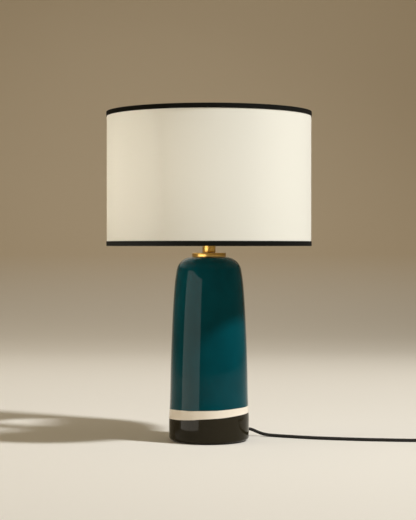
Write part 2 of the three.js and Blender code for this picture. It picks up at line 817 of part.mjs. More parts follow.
const pinRound = 1;
const pinOutline = [
  [0, plugFront - pinDepth + gap],
  [pinRadius, plugFront - pinDepth + gap],
  [pinRadius, plugFront + pinLength - pinRound],
  [pinRadius - pinRound, plugFront + pinLength],
  [0, plugFront + pinLength],
];
[-1, 1].forEach((side, index) => {
  const pin = piece(`plug_pin_${index + 1}`, turned(pinOutline, 16).rotateY(Math.PI / 2), nickel, plugRest);
  pin.position.set(0, (side * pinSpacing) / 2, plugHeight / 2);
});

export default lamp;
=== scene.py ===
"""Table lamp with a drum shade: a glazed ceramic body, brass fittings, a cloth shade with dark
bindings, and a braided lead that runs to an inline switch, a coil and a flat plug.
Metres, +Z up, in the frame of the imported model."""

import math

import bmesh
import bpy
from mathutils import Matrix, Vector


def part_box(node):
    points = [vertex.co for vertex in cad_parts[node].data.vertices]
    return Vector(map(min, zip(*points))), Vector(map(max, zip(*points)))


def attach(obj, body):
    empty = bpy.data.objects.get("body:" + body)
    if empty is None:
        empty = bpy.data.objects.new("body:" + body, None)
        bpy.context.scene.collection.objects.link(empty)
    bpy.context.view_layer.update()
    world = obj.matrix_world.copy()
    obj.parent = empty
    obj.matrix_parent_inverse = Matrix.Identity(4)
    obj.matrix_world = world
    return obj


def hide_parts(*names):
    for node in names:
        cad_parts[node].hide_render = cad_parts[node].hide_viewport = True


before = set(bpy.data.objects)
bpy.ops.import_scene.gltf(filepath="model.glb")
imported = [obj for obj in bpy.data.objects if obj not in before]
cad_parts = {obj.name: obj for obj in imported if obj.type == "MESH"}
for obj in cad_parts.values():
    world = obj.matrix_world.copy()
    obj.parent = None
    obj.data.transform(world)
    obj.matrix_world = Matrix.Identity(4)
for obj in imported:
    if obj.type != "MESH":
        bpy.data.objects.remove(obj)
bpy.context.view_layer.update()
mm = 0.001

# ------------------------------------------------------------------ camera
# The camera stands a little over two and a half metres in front of the lamp, just above the top
# of the ceramic, and looks almost level through a long lens.
camera_distance = 2.562
camera_height = 0.3294
camera_side = -0.0017
camera_lens = 103.85
camera_dip = math.radians(0.477)
camera_data = bpy.data.cameras.new("camera")
camera_data.lens = camera_lens
camera_data.clip_end = 50
camera = bpy.data.objects.new("camera", camera_data)
camera.location = (camera_side, -camera_distance, camera_height)
camera.rotation_euler = (math.radians(90) - camera_dip, 0, 0)
bpy.context.scene.collection.objects.link(camera)
bpy.context.scene.camera = camera
bpy.context.scene.view_settings.view_transform = "Standard"

# ------------------------------------------------------------------ braided lead
# A round two-core mains lead in a black cotton braid, 1.8 m long. It lies free on the table,
# passes through the inline switch, and its spare length is wound into a coil of two layers.


def linear(code):
    """An sRGB hex colour as linear red, green, blue and alpha."""
    parts = [int(code[i:i + 2], 16) / 255 for i in (1, 3, 5)]
    return [p / 12.92 if p <= 0.04045 else ((p + 0.055) / 1.055) ** 2.4 for p in parts] + [1.0]


def new_material(name, color, roughness, **sockets):
    """A Principled material with its plain values set on the shader's own sockets."""
    material = bpy.data.materials.new(name)
    material.use_nodes = True
    shader = material.node_tree.nodes["Principled BSDF"]
    shader.inputs["Base Color"].default_value = linear(color)
    shader.inputs["Roughness"].default_value = roughness
    for socket, value in sockets.items():
        shader.inputs[socket.replace("_", " ")].default_value = value
    material.diffuse_color = linear(color)
    return material, shader.inputs


def add_node(material, kind, inputs=None, output=0, to=None, **settings):
    """Adds a node. Its inputs are numbers, hex colours or other nodes' sockets. Returns one of its
    outputs, which it also links to the shader's socket if one is given."""
    tree = material.node_tree
    node = tree.nodes.new(kind)
    for name, value in settings.items():
        setattr(node, name, value)
    for name, value in (inputs or {}).items():
        if isinstance(value, bpy.types.NodeSocket):
            tree.links.new(value, node.inputs[name])
        else:
            node.inputs[name].default_value = linear(value) if isinstance(value, str) else value
    if to:
        tree.links.new(node.outputs[output], to)
    return node.outputs[output]


def two_tone(material, shader, source, one, other):
    """Drifts the base colour between two hex colours as a pattern goes from 0.3 to 0.7."""
    share = add_node(material, "ShaderNodeMapRange", {0: source, 1: 0.3, 2: 0.7})
    add_node(material, "ShaderNodeMix", {0: share, 6: one, 7: other}, 2, shader["Base Color"],
             data_type="RGBA")


cord_radius = 2.75 * mm
coil_low, coil_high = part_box("cord_coil")
coil_x, coil_y = (coil_low.x + coil_high.x) / 2, (coil_low.y + coil_high.y) / 2
coil_play = 0.2 * mm
coil_outer = coil_high.x - coil_x - cord_radius - coil_play
coil_pitch = 5.7 * mm
coil_layer_turns = 3.0486
coil_first = coil_low.z + 0.05 * mm + cord_radius
coil_layer = 5.6 * mm
coil_climb = 0.4
coil_steps = 20

cord_points = [
    (66.43, 51.9, 13.5), (73.5, 55.8, 12.1), (82.4, 57.4, 8.3), (90.4, 56.1, 5.2), (96.2, 53.4, 3.9),
    (104.5, 48.3, 3.05), (114, 42.6, 2.85), (124, 36.9, 2.85), (134, 31.7, 2.85), (154, 22.1, 2.85),
    (174, 13.3, 2.85), (204, 3, 2.85), (234, -5.2, 2.85), (264, -12.2, 2.85), (294, -17.2, 2.85),
    (324, -21.6, 2.85), (350, -24.2, 2.95), (362, -25.2, 4.4), (373, -25.8, 6.6), (383, -26, 7.5),
    (391, -26, 7.5), (413, -26, 7.5), (435, -26, 7.5), (446, -26, 7.5), (454, -25.2, 6.4),
    (461.8, -22.1, 4.5), (468.4, -16.4, 3.1), (472.8, -8, 2.85), (474, 2, 2.85), (474, 12, 3.05),
    (474, 21.3, 3.45), (474, 33, 4.0),
]
tail_points = [
    (459.4, 79.2, 9.3), (454.3, 89.2, 7.6), (453.4, 96.4, 5.6), (454.4, 103.6, 4.1), (457.2, 110.4, 3.4),
    (461.2, 117.3, 4), (465.2, 124.2, 5.7), (469.25, 131.2, 6.85),
]


def coil_points():
    """The coil's turns: in along the lower layer, a short climb, and out along the upper one."""
    turns = 2 * coil_layer_turns
    steps = round(turns * coil_steps)
    points = []
    for i in range(steps + 1):
        turn = turns * i / steps
        inwards = min(turn, turns - turn)
        radius = coil_outer - coil_pitch * inwards
        climb = min(max((turn - coil_layer_turns) / coil_climb + 0.5, 0), 1)
        height = coil_first + coil_layer * climb * climb * (3 - 2 * climb)
        angle = 2 * math.pi * turn
        points.append((coil_x + radius * math.cos(angle), coil_y + radius * math.sin(angle), height))
    return points


def smooth_path(points, spacing):
    """Points an even distance apart on one smooth centripetal curve through the given points."""
    knots = [Vector(p) for p in points]
    knots = [2 * knots[0] - knots[1], *knots, 2 * knots[-1] - knots[-2]]
    dense = []
    for a, b, c, d in zip(knots, knots[1:], knots[2:], knots[3:]):
        t1 = (b - a).length ** 0.5
        t2 = t1 + (c - b).length ** 0.5
        t3 = t2 + (d - c).length ** 0.5
        for i in range(12):
            t = t1 + (t2 - t1) * i / 12
            ab = a.lerp(b, t / t1)
            bc = b.lerp(c, (t - t1) / (t2 - t1))
            cd = c.lerp(d, (t - t2) / (t3 - t2))
            dense.append(ab.lerp(bc, t / t2).lerp(bc.lerp(cd, (t - t1) / (t3 - t1)), (t - t1) / (t2 - t1)))
    dense.append(knots[-2])
    path, travelled, wanted = [dense[0]], 0.0, spacing
    for a, b in zip(dense, dense[1:]):
        length = (b - a).length
        while length and travelled + length >= wanted:
            path.append(a.lerp(b, (wanted - travelled) / length))
            wanted += spacing
        travelled += length
    if (path[-1] - dense[-1]).length > spacing * 0.3:
        path.append(dense[-1])
    return path


def sleeve(name, path, radius, sides):
    """A closed round tube along a path, with a UV map that holds millimetres along and turns round."""
    mesh = bpy.data.meshes.new(name)
    form = bmesh.new()
    uv = form.loops.layers.uv.new("UVMap")
    rings, along = [], 0.0
    ahead = (path[1] - path[0]).normalized()
    side = ahead.cross(Vector((0, 0, 1))).normalized()
    for i, point in enumerate(path):
        before, after = path[max(i - 1, 0)], path[min(i + 1, len(path) - 1)]
        direction = (after - before).normalized()
        side = (side - direction * side.dot(direction)).normalized()
        up = side.cross(direction)
        along += (point - before).length
        turn = [2 * math.pi * k / sides for k in range(sides)]
        ring = [form.verts.new(point + radius * (side * math.cos(a) + up * math.sin(a))) for a in turn]
        rings.append((ring, along / mm))
    for (ring, near), (following, far) in zip(rings, rings[1:]):
        for k in range(sides):
            corners = [(ring[k], near, k), (following[k], far, k)]
            corners += [(following[(k + 1) % sides], far, k + 1), (ring[(k + 1) % sides], near, k + 1)]
            face = form.faces.new([vertex for vertex, _, _ in corners])
            face.smooth = True
            for loop, (_, u, v) in zip(face.loops, corners):
                loop[uv].uv = (u, v / sides)
    form.faces.new(rings[0][0])
    form.faces.new(rings[-1][0][::-1])
    bmesh.ops.recalc_face_normals(form, faces=form.faces)
    form.to_mesh(mesh)
    form.free()
    piece = bpy.data.objects.new(name, mesh)
    bpy.context.scene.collection.objects.link(piece)
    return piece


# Cotton braid over PVC: matt black, with the diamond relief of sixteen crossing strands. Strands of
# one hand lie 1 mm apart, and the relief is drawn deeper than it is so that it still shows.
braid, braid_shader = new_material("cotton_braid", "#17140f", 0.85, Sheen_Weight=0.1, Sheen_Roughness=0.5)
braid_uv = add_node(braid, "ShaderNodeTexCoord", output="UV")
strands_per_turn = 8
braid_lay = 9.0
relief = []
for hand in (1, -1):
    across = add_node(
        braid, "ShaderNodeVectorMath",
        {0: braid_uv, 1: (strands_per_turn / braid_lay, hand * strands_per_turn, 0)},
        "Value", operation="DOT_PRODUCT")
    turn = add_node(braid, "ShaderNodeMath", {0: across, 1: 2 * math.pi}, operation="MULTIPLY")
    relief.append(add_node(braid, "ShaderNodeMath", {0: turn}, operation="SINE"))
strand_relief_and_painted_shade = add_node(braid, "ShaderNodeMath", {0: relief[0], 1: relief[1]}, operation="MAXIMUM")
# Painted shade: the strand crests are coloured lighter and the grooves between strands darker, following the
# same relief as the bump.
two_tone(braid, braid_shader, strand_relief_and_painted_shade, "#0c0a08", "#211d17")
add_node(braid, "ShaderNodeBump", {"Height": strand_relief_and_painted_shade, "Distance": 0.25 * mm}, to=braid_shader["Normal"])

lead_spacing, lead_sides = 1.6 * mm, 14
lead_path = smooth_path(
    [Vector(p) * mm for p in cord_points] + [Vector(p) for p in coil_points()]
    + [Vector(p) * mm for p in tail_points], lead_spacing)
lead = sleeve("mains_lead", lead_path, cord_radius, lead_sides)
lead.data.materials.append(braid)
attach(lead, "root")
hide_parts("cord_lead", "cord_link", "cord_coil", "cord_tail")

# ------------------------------------------------------------------ ceramic body
# Thrown and glazed stoneware, hollow, with an open foot. The three glazes are brushed on by hand:
# teal above, a cream band, and black on the foot, so their edges are a little slanted and wavy.


def deselect():
    """Leaves edit mode, and leaves nothing selected or active."""
    if bpy.context.object and bpy.context.object.mode != "OBJECT":
        bpy.ops.object.mode_set(mode="OBJECT")
    bpy.ops.object.select_all(action="DESELECT")
    bpy.context.view_layer.objects.active = None


def take_up(piece):
    """Leaves one piece selected and active."""
    deselect()
    piece.select_set(True)
    bpy.context.view_layer.objects.active = piece


def turned(name, outline, segments=96):
    """A piece turned on the lamp's axis: a circle's edge is extruded and scaled from one (radius,
    height) point of the outline to the next. An outline that ends on the axis is capped there."""
    deselect()
    rings = [point for point in outline if point[0] > 0]
    radius, height = rings[0]
    bpy.ops.mesh.primitive_circle_add(vertices=segments, radius=radius, location=(0, 0, height))
    piece = bpy.context.object
    piece.name = piece.data.name = name
    bpy.ops.object.transform_apply(location=True)
    bpy.ops.object.mode_set(mode="EDIT")
    bpy.ops.mesh.select_all(action="SELECT")
    for next_radius, next_height in rings[1:]:
        bpy.ops.mesh.extrude_edges_move(TRANSFORM_OT_translate={"value": (0, 0, next_height - height)})
        scale = next_radius / radius
        bpy.ops.transform.resize(value=(scale, scale, 1), center_override=(0, 0, 0))
        radius, height = next_radius, next_height
    close_up(piece)
    return piece


def close_up(piece, smooth_angle=35):
    """Merges doubles, fills open rims, turns the faces outwards and smooths all but sharp edges."""
    take_up(piece)
    bpy.ops.object.mode_set(mode="EDIT")
    bpy.ops.mesh.select_all(action="SELECT")
    bpy.ops.mesh.remove_doubles(threshold=1e-6)
    bpy.ops.mesh.fill_holes(sides=0)
    bpy.ops.mesh.select_all(action="SELECT")
    bpy.ops.mesh.normals_make_consistent(inside=False)
    bpy.ops.object.mode_set(mode="OBJECT")
    bpy.ops.object.shade_smooth_by_angle(angle=math.radians(smooth_angle))


def arc(centre, radius, start, end, steps):
    """Points of an arc from one angle to another, in degrees."""
    angles = [math.radians(start + (end - start) * i / steps) for i in range(steps + 1)]
    return [(centre[0] + radius * math.cos(a), centre[1] + radius * math.sin(a)) for a in angles]


def dress(piece, material, body, slot, *nodes):
    """Gives a finished piece its material and its body, and hides the nodes that it stands for. The slot is
    not used.
    """
    piece.data.materials.clear()
    piece.data.materials.append(material)
    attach(piece, body)
    if nodes:
        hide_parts(*nodes)
    return piece


body_low, body_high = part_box("ceramic_body")
body_wall = 7 * mm
foot_corner = 5.5 * mm
foot_height = 42 * mm
foot_straight = 14 * mm
foot_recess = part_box("base_cover")[1].x + 0.3 * mm
recess_height = 46 * mm
cavity_floor = 54 * mm
shoulder = 26.5 * mm
flat_top = 29 * mm
rod_hole = 5.3 * mm
side_shape = [(0.05, 0.07), (0.14, 0.14), (0.33, 0.21), (0.56, 0.36), (0.8, 0.59), (0.93, 0.8)]


def body_side(inset, spacing, shoulder_steps):
    """The body's side and shoulder, that far inside its outer face."""
    top = arc((flat_top, body_high.z - shoulder), shoulder - inset, 8, 90, shoulder_steps)
    foot = body_high.x - inset
    taper, rise = foot - top[0][0], top[0][1] - foot_height
    points = [(foot, foot_height - foot_straight), (foot, foot_height)]
    points += [(foot - share * taper, foot_height + up * rise) for up, share in side_shape]
    side = smooth_path([Vector((r, 0, z)) for r, z in [*points, top[0]]], spacing)
    return [(p.x, p.z) for p in side] + top[1:]


ceramic = turned("glazed_body", [
    (foot_recess, body_low.z),
    *arc((body_high.x - foot_corner, body_low.z + foot_corner), foot_corner, -90, 0, 8),
    *body_side(0, 4 * mm, 24),
    (rod_hole, body_high.z),
    (rod_hole, body_high.z - body_wall),
    *[p for p in reversed(body_side(body_wall, 12 * mm, 8)) if p[1] > cavity_floor + mm],
    (body_high.x - body_wall, cavity_floor),
    (rod_hole, cavity_floor),
    (rod_hole, recess_height),
    (foot_recess, recess_height),
    (foot_recess, body_low.z),
], segments=160)

# Glossy stoneware glaze, almost mirror smooth. It pools a little, so the teal drifts in depth over
# centimetres, and its surface rolls gently, which bends the reflections.
glaze, glaze_shader = new_material("stoneware_glaze", "#004449", 0.045, Specular_IOR_Level=0.11)
teal_thin, teal_deep = "#004f5a", "#00353c"
cream_thin, cream_deep = "#fbf4e8", "#efe4d2"
foot_black = "#2a261b"
glaze_place = add_node(glaze, "ShaderNodeTexCoord", output="Object")
brush = add_node(glaze, "ShaderNodeTexNoise", {"Vector": glaze_place, "Scale": 22.0, "Detail": 1.0})
wave = add_node(glaze, "ShaderNodeMath", {0: brush, 1: 2.4 * mm, 2: -1.2 * mm}, operation="MULTIPLY_ADD")
brush_softness = 0.5 * mm


def above_line(height, slope):
    """0 below a slanted brush line round the body, and 1 above it."""
    level = add_node(
        glaze, "ShaderNodeVectorMath", {0: glaze_place, 1: (-slope, 0, 1)}, "Value", operation="DOT_PRODUCT")
    level = add_node(glaze, "ShaderNodeMath", {0: level, 1: wave}, operation="ADD")
    return add_node(glaze, "ShaderNodeMapRange", {0: level, 1: height, 2: height + brush_softness})


over_cream = above_line(57 * mm, 0.035)
over_black = above_line(43.3 * mm, 0.073)
pooling = add_node(glaze, "ShaderNodeTexNoise", {"Vector": glaze_place, "Scale": 14.0, "Detail": 3.0})
teal = add_node(glaze, "ShaderNodeMix", {0: pooling, 6: teal_deep, 7: teal_thin}, 2, data_type="RGBA")
cream = add_node(glaze, "ShaderNodeMix", {0: pooling, 6: cream_deep, 7: cream_thin}, 2, data_type="RGBA")
foot_zones = add_node(glaze, "ShaderNodeMix", {0: over_black, 6: foot_black, 7: cream}, 2, data_type="RGBA")
add_node(glaze, "ShaderNodeMix", {0: over_cream, 6: foot_zones, 7: teal}, 2, glaze_shader["Base Color"],
         data_type="RGBA")
roll = add_node(glaze, "ShaderNodeTexNoise", {"Vector": glaze_place, "Scale": 9.0, "Detail": 1.0})
rolling = add_node(glaze, "ShaderNodeBump", {"Height": roll, "Distance": 1.2 * mm, "Strength": 0.25},
                   "Normal")
coats = add_node(glaze, "ShaderNodeMath", {0: over_cream, 1: over_black}, operation="SUBTRACT")
add_node(glaze, "ShaderNodeBump",
         {"Height": coats, "Distance": 0.12 * mm, "Strength": 0.6, "Normal": rolling},
         to=glaze_shader["Normal"])
dress(ceramic, glaze, "root", "glaze", "ceramic_body")

# ------------------------------------------------------------------ felt and cover under the foot
# A disc of pressed wool felt glued over the foot, so that the glaze doesn't scratch the table. The
# hardboard cover above it closes the foot and is out of sight.
felt_low, felt_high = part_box("felt_pad")
felt_edge = 0.75 * mm
felt_disc = turned("felt_disc", [
    (0, felt_low.z),
    (felt_high.x - felt_edge, felt_low.z),
    *arc((felt_high.x - felt_edge, felt_high.z / 2), felt_high.z / 2 * 0.98, -80, 80, 4),
    (felt_high.x - felt_edge, felt_high.z),
    (0, felt_high.z),
])



def mottled(name, color, roughness, scale, detail, one, other, relief=0, strength=1, **sockets):
    """A material that drifts between two colours over a fine noise, which can stand in relief too.
    Returns it with its shader, its place on the piece and its noise."""
    material, shader = new_material(name, color, roughness, **sockets)
    place = add_node(material, "ShaderNodeTexCoord", output="Object")
    noise = add_node(material, "ShaderNodeTexNoise", {"Vector": place, "Scale": scale, "Detail": detail})
    two_tone(material, shader, noise, one, other)
    if relief:
        add_node(material, "ShaderNodeBump", {"Height": noise, "Distance": relief, "Strength": strength},
                 to=shader["Normal"])
    return material, shader, place, noise


# Pressed felt: no weave, a matt tangle of short fibres with lumps under a millimetre across.
felt, *_ = mottled("pressed_wool_felt", "#201d1a", 0.95, 1400.0, 4.0, "#171512", "#2b2723", 0.3 * mm,
                   Sheen_Weight=0.4, Sheen_Roughness=0.6)
dress(felt_disc, felt, "root", "felt", "felt_pad")

# ------------------------------------------------------------------ brass disc and neck
# Both are turned from brass bar and lacquered. The disc spreads the rod's pull over the glaze, and
# the neck holds the lampholder above it. The lathe leaves fine rings round every face.


def eased_ring(inner, outer, bottom, top, edge, steps=3):
    """A closed outline of a ring with its outer edges rounded over."""
    lower = arc((outer - edge, bottom + edge), edge, -90, 0, steps)
    upper = arc((outer - edge, top - edge), edge, 0, 90, steps)
    return [(inner, bottom), *lower, *upper, (inner, top), (inner, bottom)]


disc_low, disc_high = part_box("brass_disc")
neck_low, neck_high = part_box("neck_tube")
disc = turned("brass_disc_turned", eased_ring(rod_hole, disc_high.x, disc_low.z, disc_high.z, 0.9 * mm), 128)
neck_wall = 1.5 * mm
neck = turned("brass_neck", eased_ring(
    neck_high.x - neck_wall, neck_high.x, neck_low.z, neck_high.z, 0.3 * mm), 96)

# Lacquered brass, satin from the lathe: warm yellow metal whose highlight is drawn out across the
# turning marks. They are a tenth of a millimetre apart, drawn at four tenths so that they show.
brass, brass_shader = new_material("turned_brass", "#cf9c4c", 0.27, Metallic=1.0)
brass_place = add_node(brass, "ShaderNodeTexCoord", output="Object")
mark_pitch = 0.4 * mm
wave_unit = 2 * math.pi / 20
mark_scale = {"Vector": brass_place, "Scale": wave_unit / mark_pitch}
marks = [add_node(brass, "ShaderNodeTexWave", mark_scale, "Fac", **kind)
         for kind in ({"wave_type": "RINGS", "rings_direction": "Z"}, {"bands_direction": "Z"})]
both_marks = add_node(brass, "ShaderNodeMath", {0: marks[0], 1: marks[1]}, operation="ADD")
tarnish = add_node(brass, "ShaderNodeTexNoise", {"Vector": brass_place, "Scale": 60.0, "Detail": 4.0})
two_tone(brass, brass_shader, tarnish, "#c99e50", "#d8af64")
add_node(brass, "ShaderNodeMapRange", {0: tarnish, 3: 0.22, 4: 0.34}, to=brass_shader["Roughness"])
add_node(brass, "ShaderNodeBump", {"Height": both_marks, "Distance": 0.02 * mm, "Strength": 0.4},
         to=brass_shader["Normal"])
dress(disc, brass, "root", "brass", "brass_disc")
dress(neck, brass, "root", "brass", "neck_tube")

# ------------------------------------------------------------------ lampholder
# An E27 lampholder pressed from black phenolic resin: a domed cap, and a skirt whose outside is
# threaded for the shade's ring. A porcelain core inside carries the plated contact sleeve.


def threaded(radius, depth, bottom, top, pitch):
    """Rounded thread crests between two heights, and the grooves between them."""
    crests = max(int((top - bottom) / pitch), 1)
    points = []
    for i in range(crests * 6 + 1):
        height = bottom + (top - bottom) * i / (crests * 6)
        points.append((radius - depth * (0.5 + 0.5 * math.cos(math.pi * i / 3)), height))
    return points


cap_low, cap_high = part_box("holder_cap")
skirt_low, skirt_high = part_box("holder_skirt")
cap_curve = 12.6 * mm
cap_floor = 5 * mm
cap_inner = cap_high.x - 4.3 * mm
holder_cap = turned("lampholder_cap", [
    (rod_hole, cap_low.z),
    (neck_high.x + 1.2 * mm, cap_low.z),
    *[(p.x, p.z) for p in smooth_path([
        Vector((neck_high.x + 1.8 * mm, 0, cap_low.z + 0.5 * mm)),
        Vector((cap_high.x - 4 * mm, 0, cap_low.z + cap_curve / 3)),
        Vector((cap_high.x - 1 * mm, 0, cap_low.z + 0.72 * cap_curve)),
        Vector((cap_high.x, 0, cap_low.z + cap_curve))], 1.5 * mm)],
    (cap_high.x, cap_high.z - 0.6 * mm),
    (cap_high.x - 0.6 * mm, cap_high.z),
    (cap_inner, cap_high.z),
    (cap_inner, cap_low.z + cap_curve + mm),
    (neck_high.x, cap_low.z + cap_floor),
    (rod_hole, cap_low.z + cap_floor),
    (rod_hole, cap_low.z),
], 72)
ledge_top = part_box("carrier_washer")[0].z - 0.3 * mm
skirt_radius = 19.9 * mm
skirt_inner = 17.9 * mm
holder_skirt = turned("lampholder_skirt", [
    (skirt_inner, skirt_low.z),
    (skirt_high.x - 0.4 * mm, skirt_low.z),
    (skirt_high.x, skirt_low.z + 0.4 * mm),
    (skirt_high.x, ledge_top - 0.4 * mm),
    (skirt_high.x - 0.4 * mm, ledge_top),
    *threaded(skirt_radius, 0.5 * mm, ledge_top + 0.4 * mm, skirt_high.z - 3 * mm, 3 * mm),
    (skirt_radius - 0.5 * mm, skirt_high.z - 0.6 * mm),
    (skirt_radius - 1.1 * mm, skirt_high.z),
    (skirt_inner, skirt_high.z),
    (skirt_inner, skirt_low.z),
], 96)

# Phenolic resin from a polished mould: near black, with a soft sheen and a faint flow mottle.
resin, resin_shader, resin_place, _ = mottled(
    "phenolic_resin", "#14110e", 0.38, 300.0, 3.0, "#110e0b", "#1d1915")
grain = add_node(resin, "ShaderNodeTexNoise", {"Vector": resin_place, "Scale": 2600.0, "Detail": 2.0})
add_node(resin, "ShaderNodeBump", {"Height": grain, "Distance": 0.05 * mm, "Strength": 0.5},
         to=resin_shader["Normal"])
dress(holder_cap, resin, "root", "black_plastic", "holder_cap")
dress(holder_skirt, resin, "root", "black_plastic", "holder_skirt")

sleeve_low, sleeve_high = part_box("holder_sleeve")
sleeve_wall = 0.6 * mm
thread_pitch = 3.63 * mm
sleeve_outside = threaded(sleeve_high.x, 0.5 * mm, sleeve_low.z, sleeve_high.z, thread_pitch)
sleeve_inside = threaded(
    sleeve_high.x - 0.1 * mm - sleeve_wall / 2, 0.35 * mm, sleeve_low.z, sleeve_high.z, thread_pitch)
contact_sleeve = turned(
    "contact_sleeve", [*sleeve_outside, *reversed(sleeve_inside), sleeve_outside[0]], 72)

# Nickel plate over pressed brass: a bright, slightly warm metal with a light haze.
nickel, nickel_shader, _, haze = mottled(
    "nickel_plate", "#c9c4b9", 0.24, 500.0, 3.0, "#bdb8ac", "#d3cec4", Metallic=1.0)
add_node(nickel, "ShaderNodeMapRange", {0: haze, 3: 0.18, 4: 0.34}, to=nickel_shader["Roughness"])
dress(contact_sleeve, nickel, "root", "nickel", "holder_sleeve")

core_low, core_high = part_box("holder_core")
porcelain_core = turned("porcelain_core", [
    (0, core_low.z), *eased_ring(0, core_high.x, core_low.z, core_high.z, mm)[1:-2], (0, core_high.z)], 72)

# Glazed electrical porcelain: dense, white and shiny, with a few grey specks.
porcelain, *_ = mottled("glazed_porcelain", "#e8e4da", 0.12, 700.0, 2.0, "#dcd7ca", "#ece8df")
dress(porcelain_core, porcelain, "root", "porcelain", "holder_core")

# ------------------------------------------------------------------ bulb
# A standard 60 mm opal bulb with an E27 cap: blown glass coated white inside, a rolled nickel
# screw cap, and a black glass insulator round the centre contact.
glass_low, glass_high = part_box("bulb_glass")
cap_bottom, cap_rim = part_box("bulb_cap")
globe_radius = 30 * mm
globe_height = glass_high.z - globe_radius
throat = cap_rim.x - 0.8 * mm


def glass_side(inset):
    """The globe and its neck, that far inside the outer face, up to the top of the globe."""
    globe = arc((0, globe_height), globe_radius - inset, -35, 89, 26)
    flare = [(throat, -4 * mm), (throat, 1.5 * mm), (throat + 2.4 * mm, 10 * mm),
             (throat + 7.2 * mm, 21 * mm)]
    neck_line = smooth_path(
        [Vector((radius - inset, 0, cap_rim.z + rise)) for radius, rise in flare]
        + [Vector((globe[0][0], 0, globe[0][1]))], 2.5 * mm)
    return [(throat - inset, glass_low.z), *[(p.x, p.z) for p in neck_line], *globe[1:]]


bulb_glass = turned("bulb_glass_blown", [*reversed(glass_side(mm)), *glass_side(0)], 96)

# Opal glass: white, faintly translucent, with a soft shine.
opal, *_ = mottled("blown_opal_glass", "#f1ede4", 0.22, 40.0, 2.0, "#ece7dc", "#f5f2ea",
                   Subsurface_Weight=0.3, Subsurface_Scale=2 * mm, Coat_Weight=0.3)
dress(bulb_glass, opal, "bulb", "opal_glass", "bulb_glass")

bulb_cap = turned("bulb_screw_cap", [
    (cap_rim.x - 3.5 * mm, cap_bottom.z),
    (cap_rim.x - 2.1 * mm, cap_bottom.z),
    *threaded(cap_rim.x, 0.6 * mm, cap_bottom.z + 2.3 * mm, cap_rim.z - 4 * mm, thread_pitch),
    (cap_rim.x - 0.1 * mm, cap_rim.z - 3 * mm),
    (cap_rim.x, cap_rim.z - 0.6 * mm),
    (cap_rim.x - 0.3 * mm, cap_rim.z),
    (cap_rim.x - 0.75 * mm, cap_rim.z),
    (cap_rim.x - 0.75 * mm, cap_rim.z - 12 * mm),
    (cap_rim.x - 2.3 * mm, cap_bottom.z + 0.5 * mm),
    (cap_rim.x - 3.5 * mm, cap_bottom.z + 0.5 * mm),
    (cap_rim.x - 3.5 * mm, cap_bottom.z),
], 72)
dress(bulb_cap, nickel, "bulb", "nickel", "bulb_cap")

insulator_low, insulator_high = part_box("bulb_insulator")
insulator = turned("bulb_insulator_glass", [
    (0, insulator_low.z), (5.5 * mm, insulator_low.z), (insulator_high.x, insulator_high.z),
    (0, insulator_high.z)], 48)

# Vitrite, the black glass of a lamp cap: dark purple-black and shiny, with a few bubbles.
vitrite, *_ = mottled("black_vitrite_glass", "#120d12", 0.1, 900.0, 1.0, "#0d090d", "#1a131a")
dress(insulator, vitrite, "bulb", "black_plastic", "bulb_insulator")

tip_low, tip_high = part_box("bulb_contact")
tip = turned("bulb_contact_tip", [
    (0, tip_low.z), *eased_ring(0, tip_high.x, tip_low.z, tip_high.z, 0.8 * mm)[1:-2], (0, tip_high.z)], 48)
dress(tip, nickel, "bulb_tip", "nickel", "bulb_contact")

# ------------------------------------------------------------------ shade carrier
# Three spring steel wires are welded to a pressed washer and to the shade's lower ring, and the
# whole carrier is powder coated white. It sits on the lampholder's ledge.
washer_low, washer_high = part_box("carrier_washer")
carrier = turned("carrier_plate", eased_ring(
    skirt_radius + 0.3 * mm, washer_high.x, washer_low.z, washer_high.z, 0.6 * mm), 96)

# Epoxy powder coat: off white, satin, with a fine orange peel a millimetre across.
powder, *_ = mottled("white_powder_coat", "#e7e3d8", 0.42, 900.0, 1.0, "#e0dbcf", "#ebe8de", 0.06 * mm, 0.5)
dress(carrier, powder, "shade", "white_wire", "carrier_washer")

wire_radius = 1.5 * mm
ring_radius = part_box("bottom_ring")[1].x - wire_radius
arm_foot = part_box("carrier_arm_1")[0].z
arm_level = (washer_low.z + washer_high.z) / 2
arm_route = [
    (washer_high.x + 0.3 * mm, arm_level),
    (washer_high.x + 10 * mm, arm_level),
    (washer_high.x + 18 * mm, arm_level - 1.2 * mm),
    (ring_radius - 15.4 * mm, arm_foot + 12 * mm),
    (ring_radius - 7.4 * mm, arm_foot + 9.8 * mm),
    (ring_radius - 1.2 * mm, arm_foot + 6.4 * mm),
    (ring_radius, arm_foot + 3.4 * mm),
    (ring_radius, arm_foot),
]


def wire(name, route, closed=False):
    """A round wire along a route: a bevelled curve that is made a mesh."""
    deselect()
    bpy.ops.curve.primitive_bezier_curve_add()
    piece = bpy.context.object
    piece.name = piece.data.name = name
    piece.data.splines.clear()
    line = piece.data.splines.new("POLY")
    line.points.add(len(route) - 1)
    for point, place in zip(line.points, route):
        point.co = (*place, 1)
    line.use_cyclic_u = closed
    line.use_smooth = True
    piece.data.bevel_depth = wire_radius
    piece.data.bevel_resolution = 5
    piece.data.use_fill_caps = True
    bpy.ops.object.transform_apply(location=True, rotation=True, scale=True)
    bpy.ops.object.convert(target="MESH")
    close_up(bpy.context.object, 60)
    return bpy.context.object


for number in range(3):
    angle = math.radians(90 + 120 * number)
    route = [Vector((r * math.cos(angle), r * math.sin(angle), z)) for r, z in arm_route]
    arm = wire(f"carrier_wire_{number + 1}", smooth_path(route, 2.5 * mm))
    dress(arm, powder, "shade", "white_wire", f"carrier_arm_{number + 1}")

for name, node in (("rim_wire_lower", "bottom_ring"), ("rim_wire_upper", "top_ring")):
    rim_height = (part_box(node)[0].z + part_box(node)[1].z) / 2
    around = [2 * math.pi * i / 180 for i in range(180)]
    rim = [(ring_radius * math.cos(a), ring_radius * math.sin(a), rim_height) for a in around]
    rim_wire = wire(name, rim, True)
    dress(rim_wire, powder, "shade", "white_wire", node)

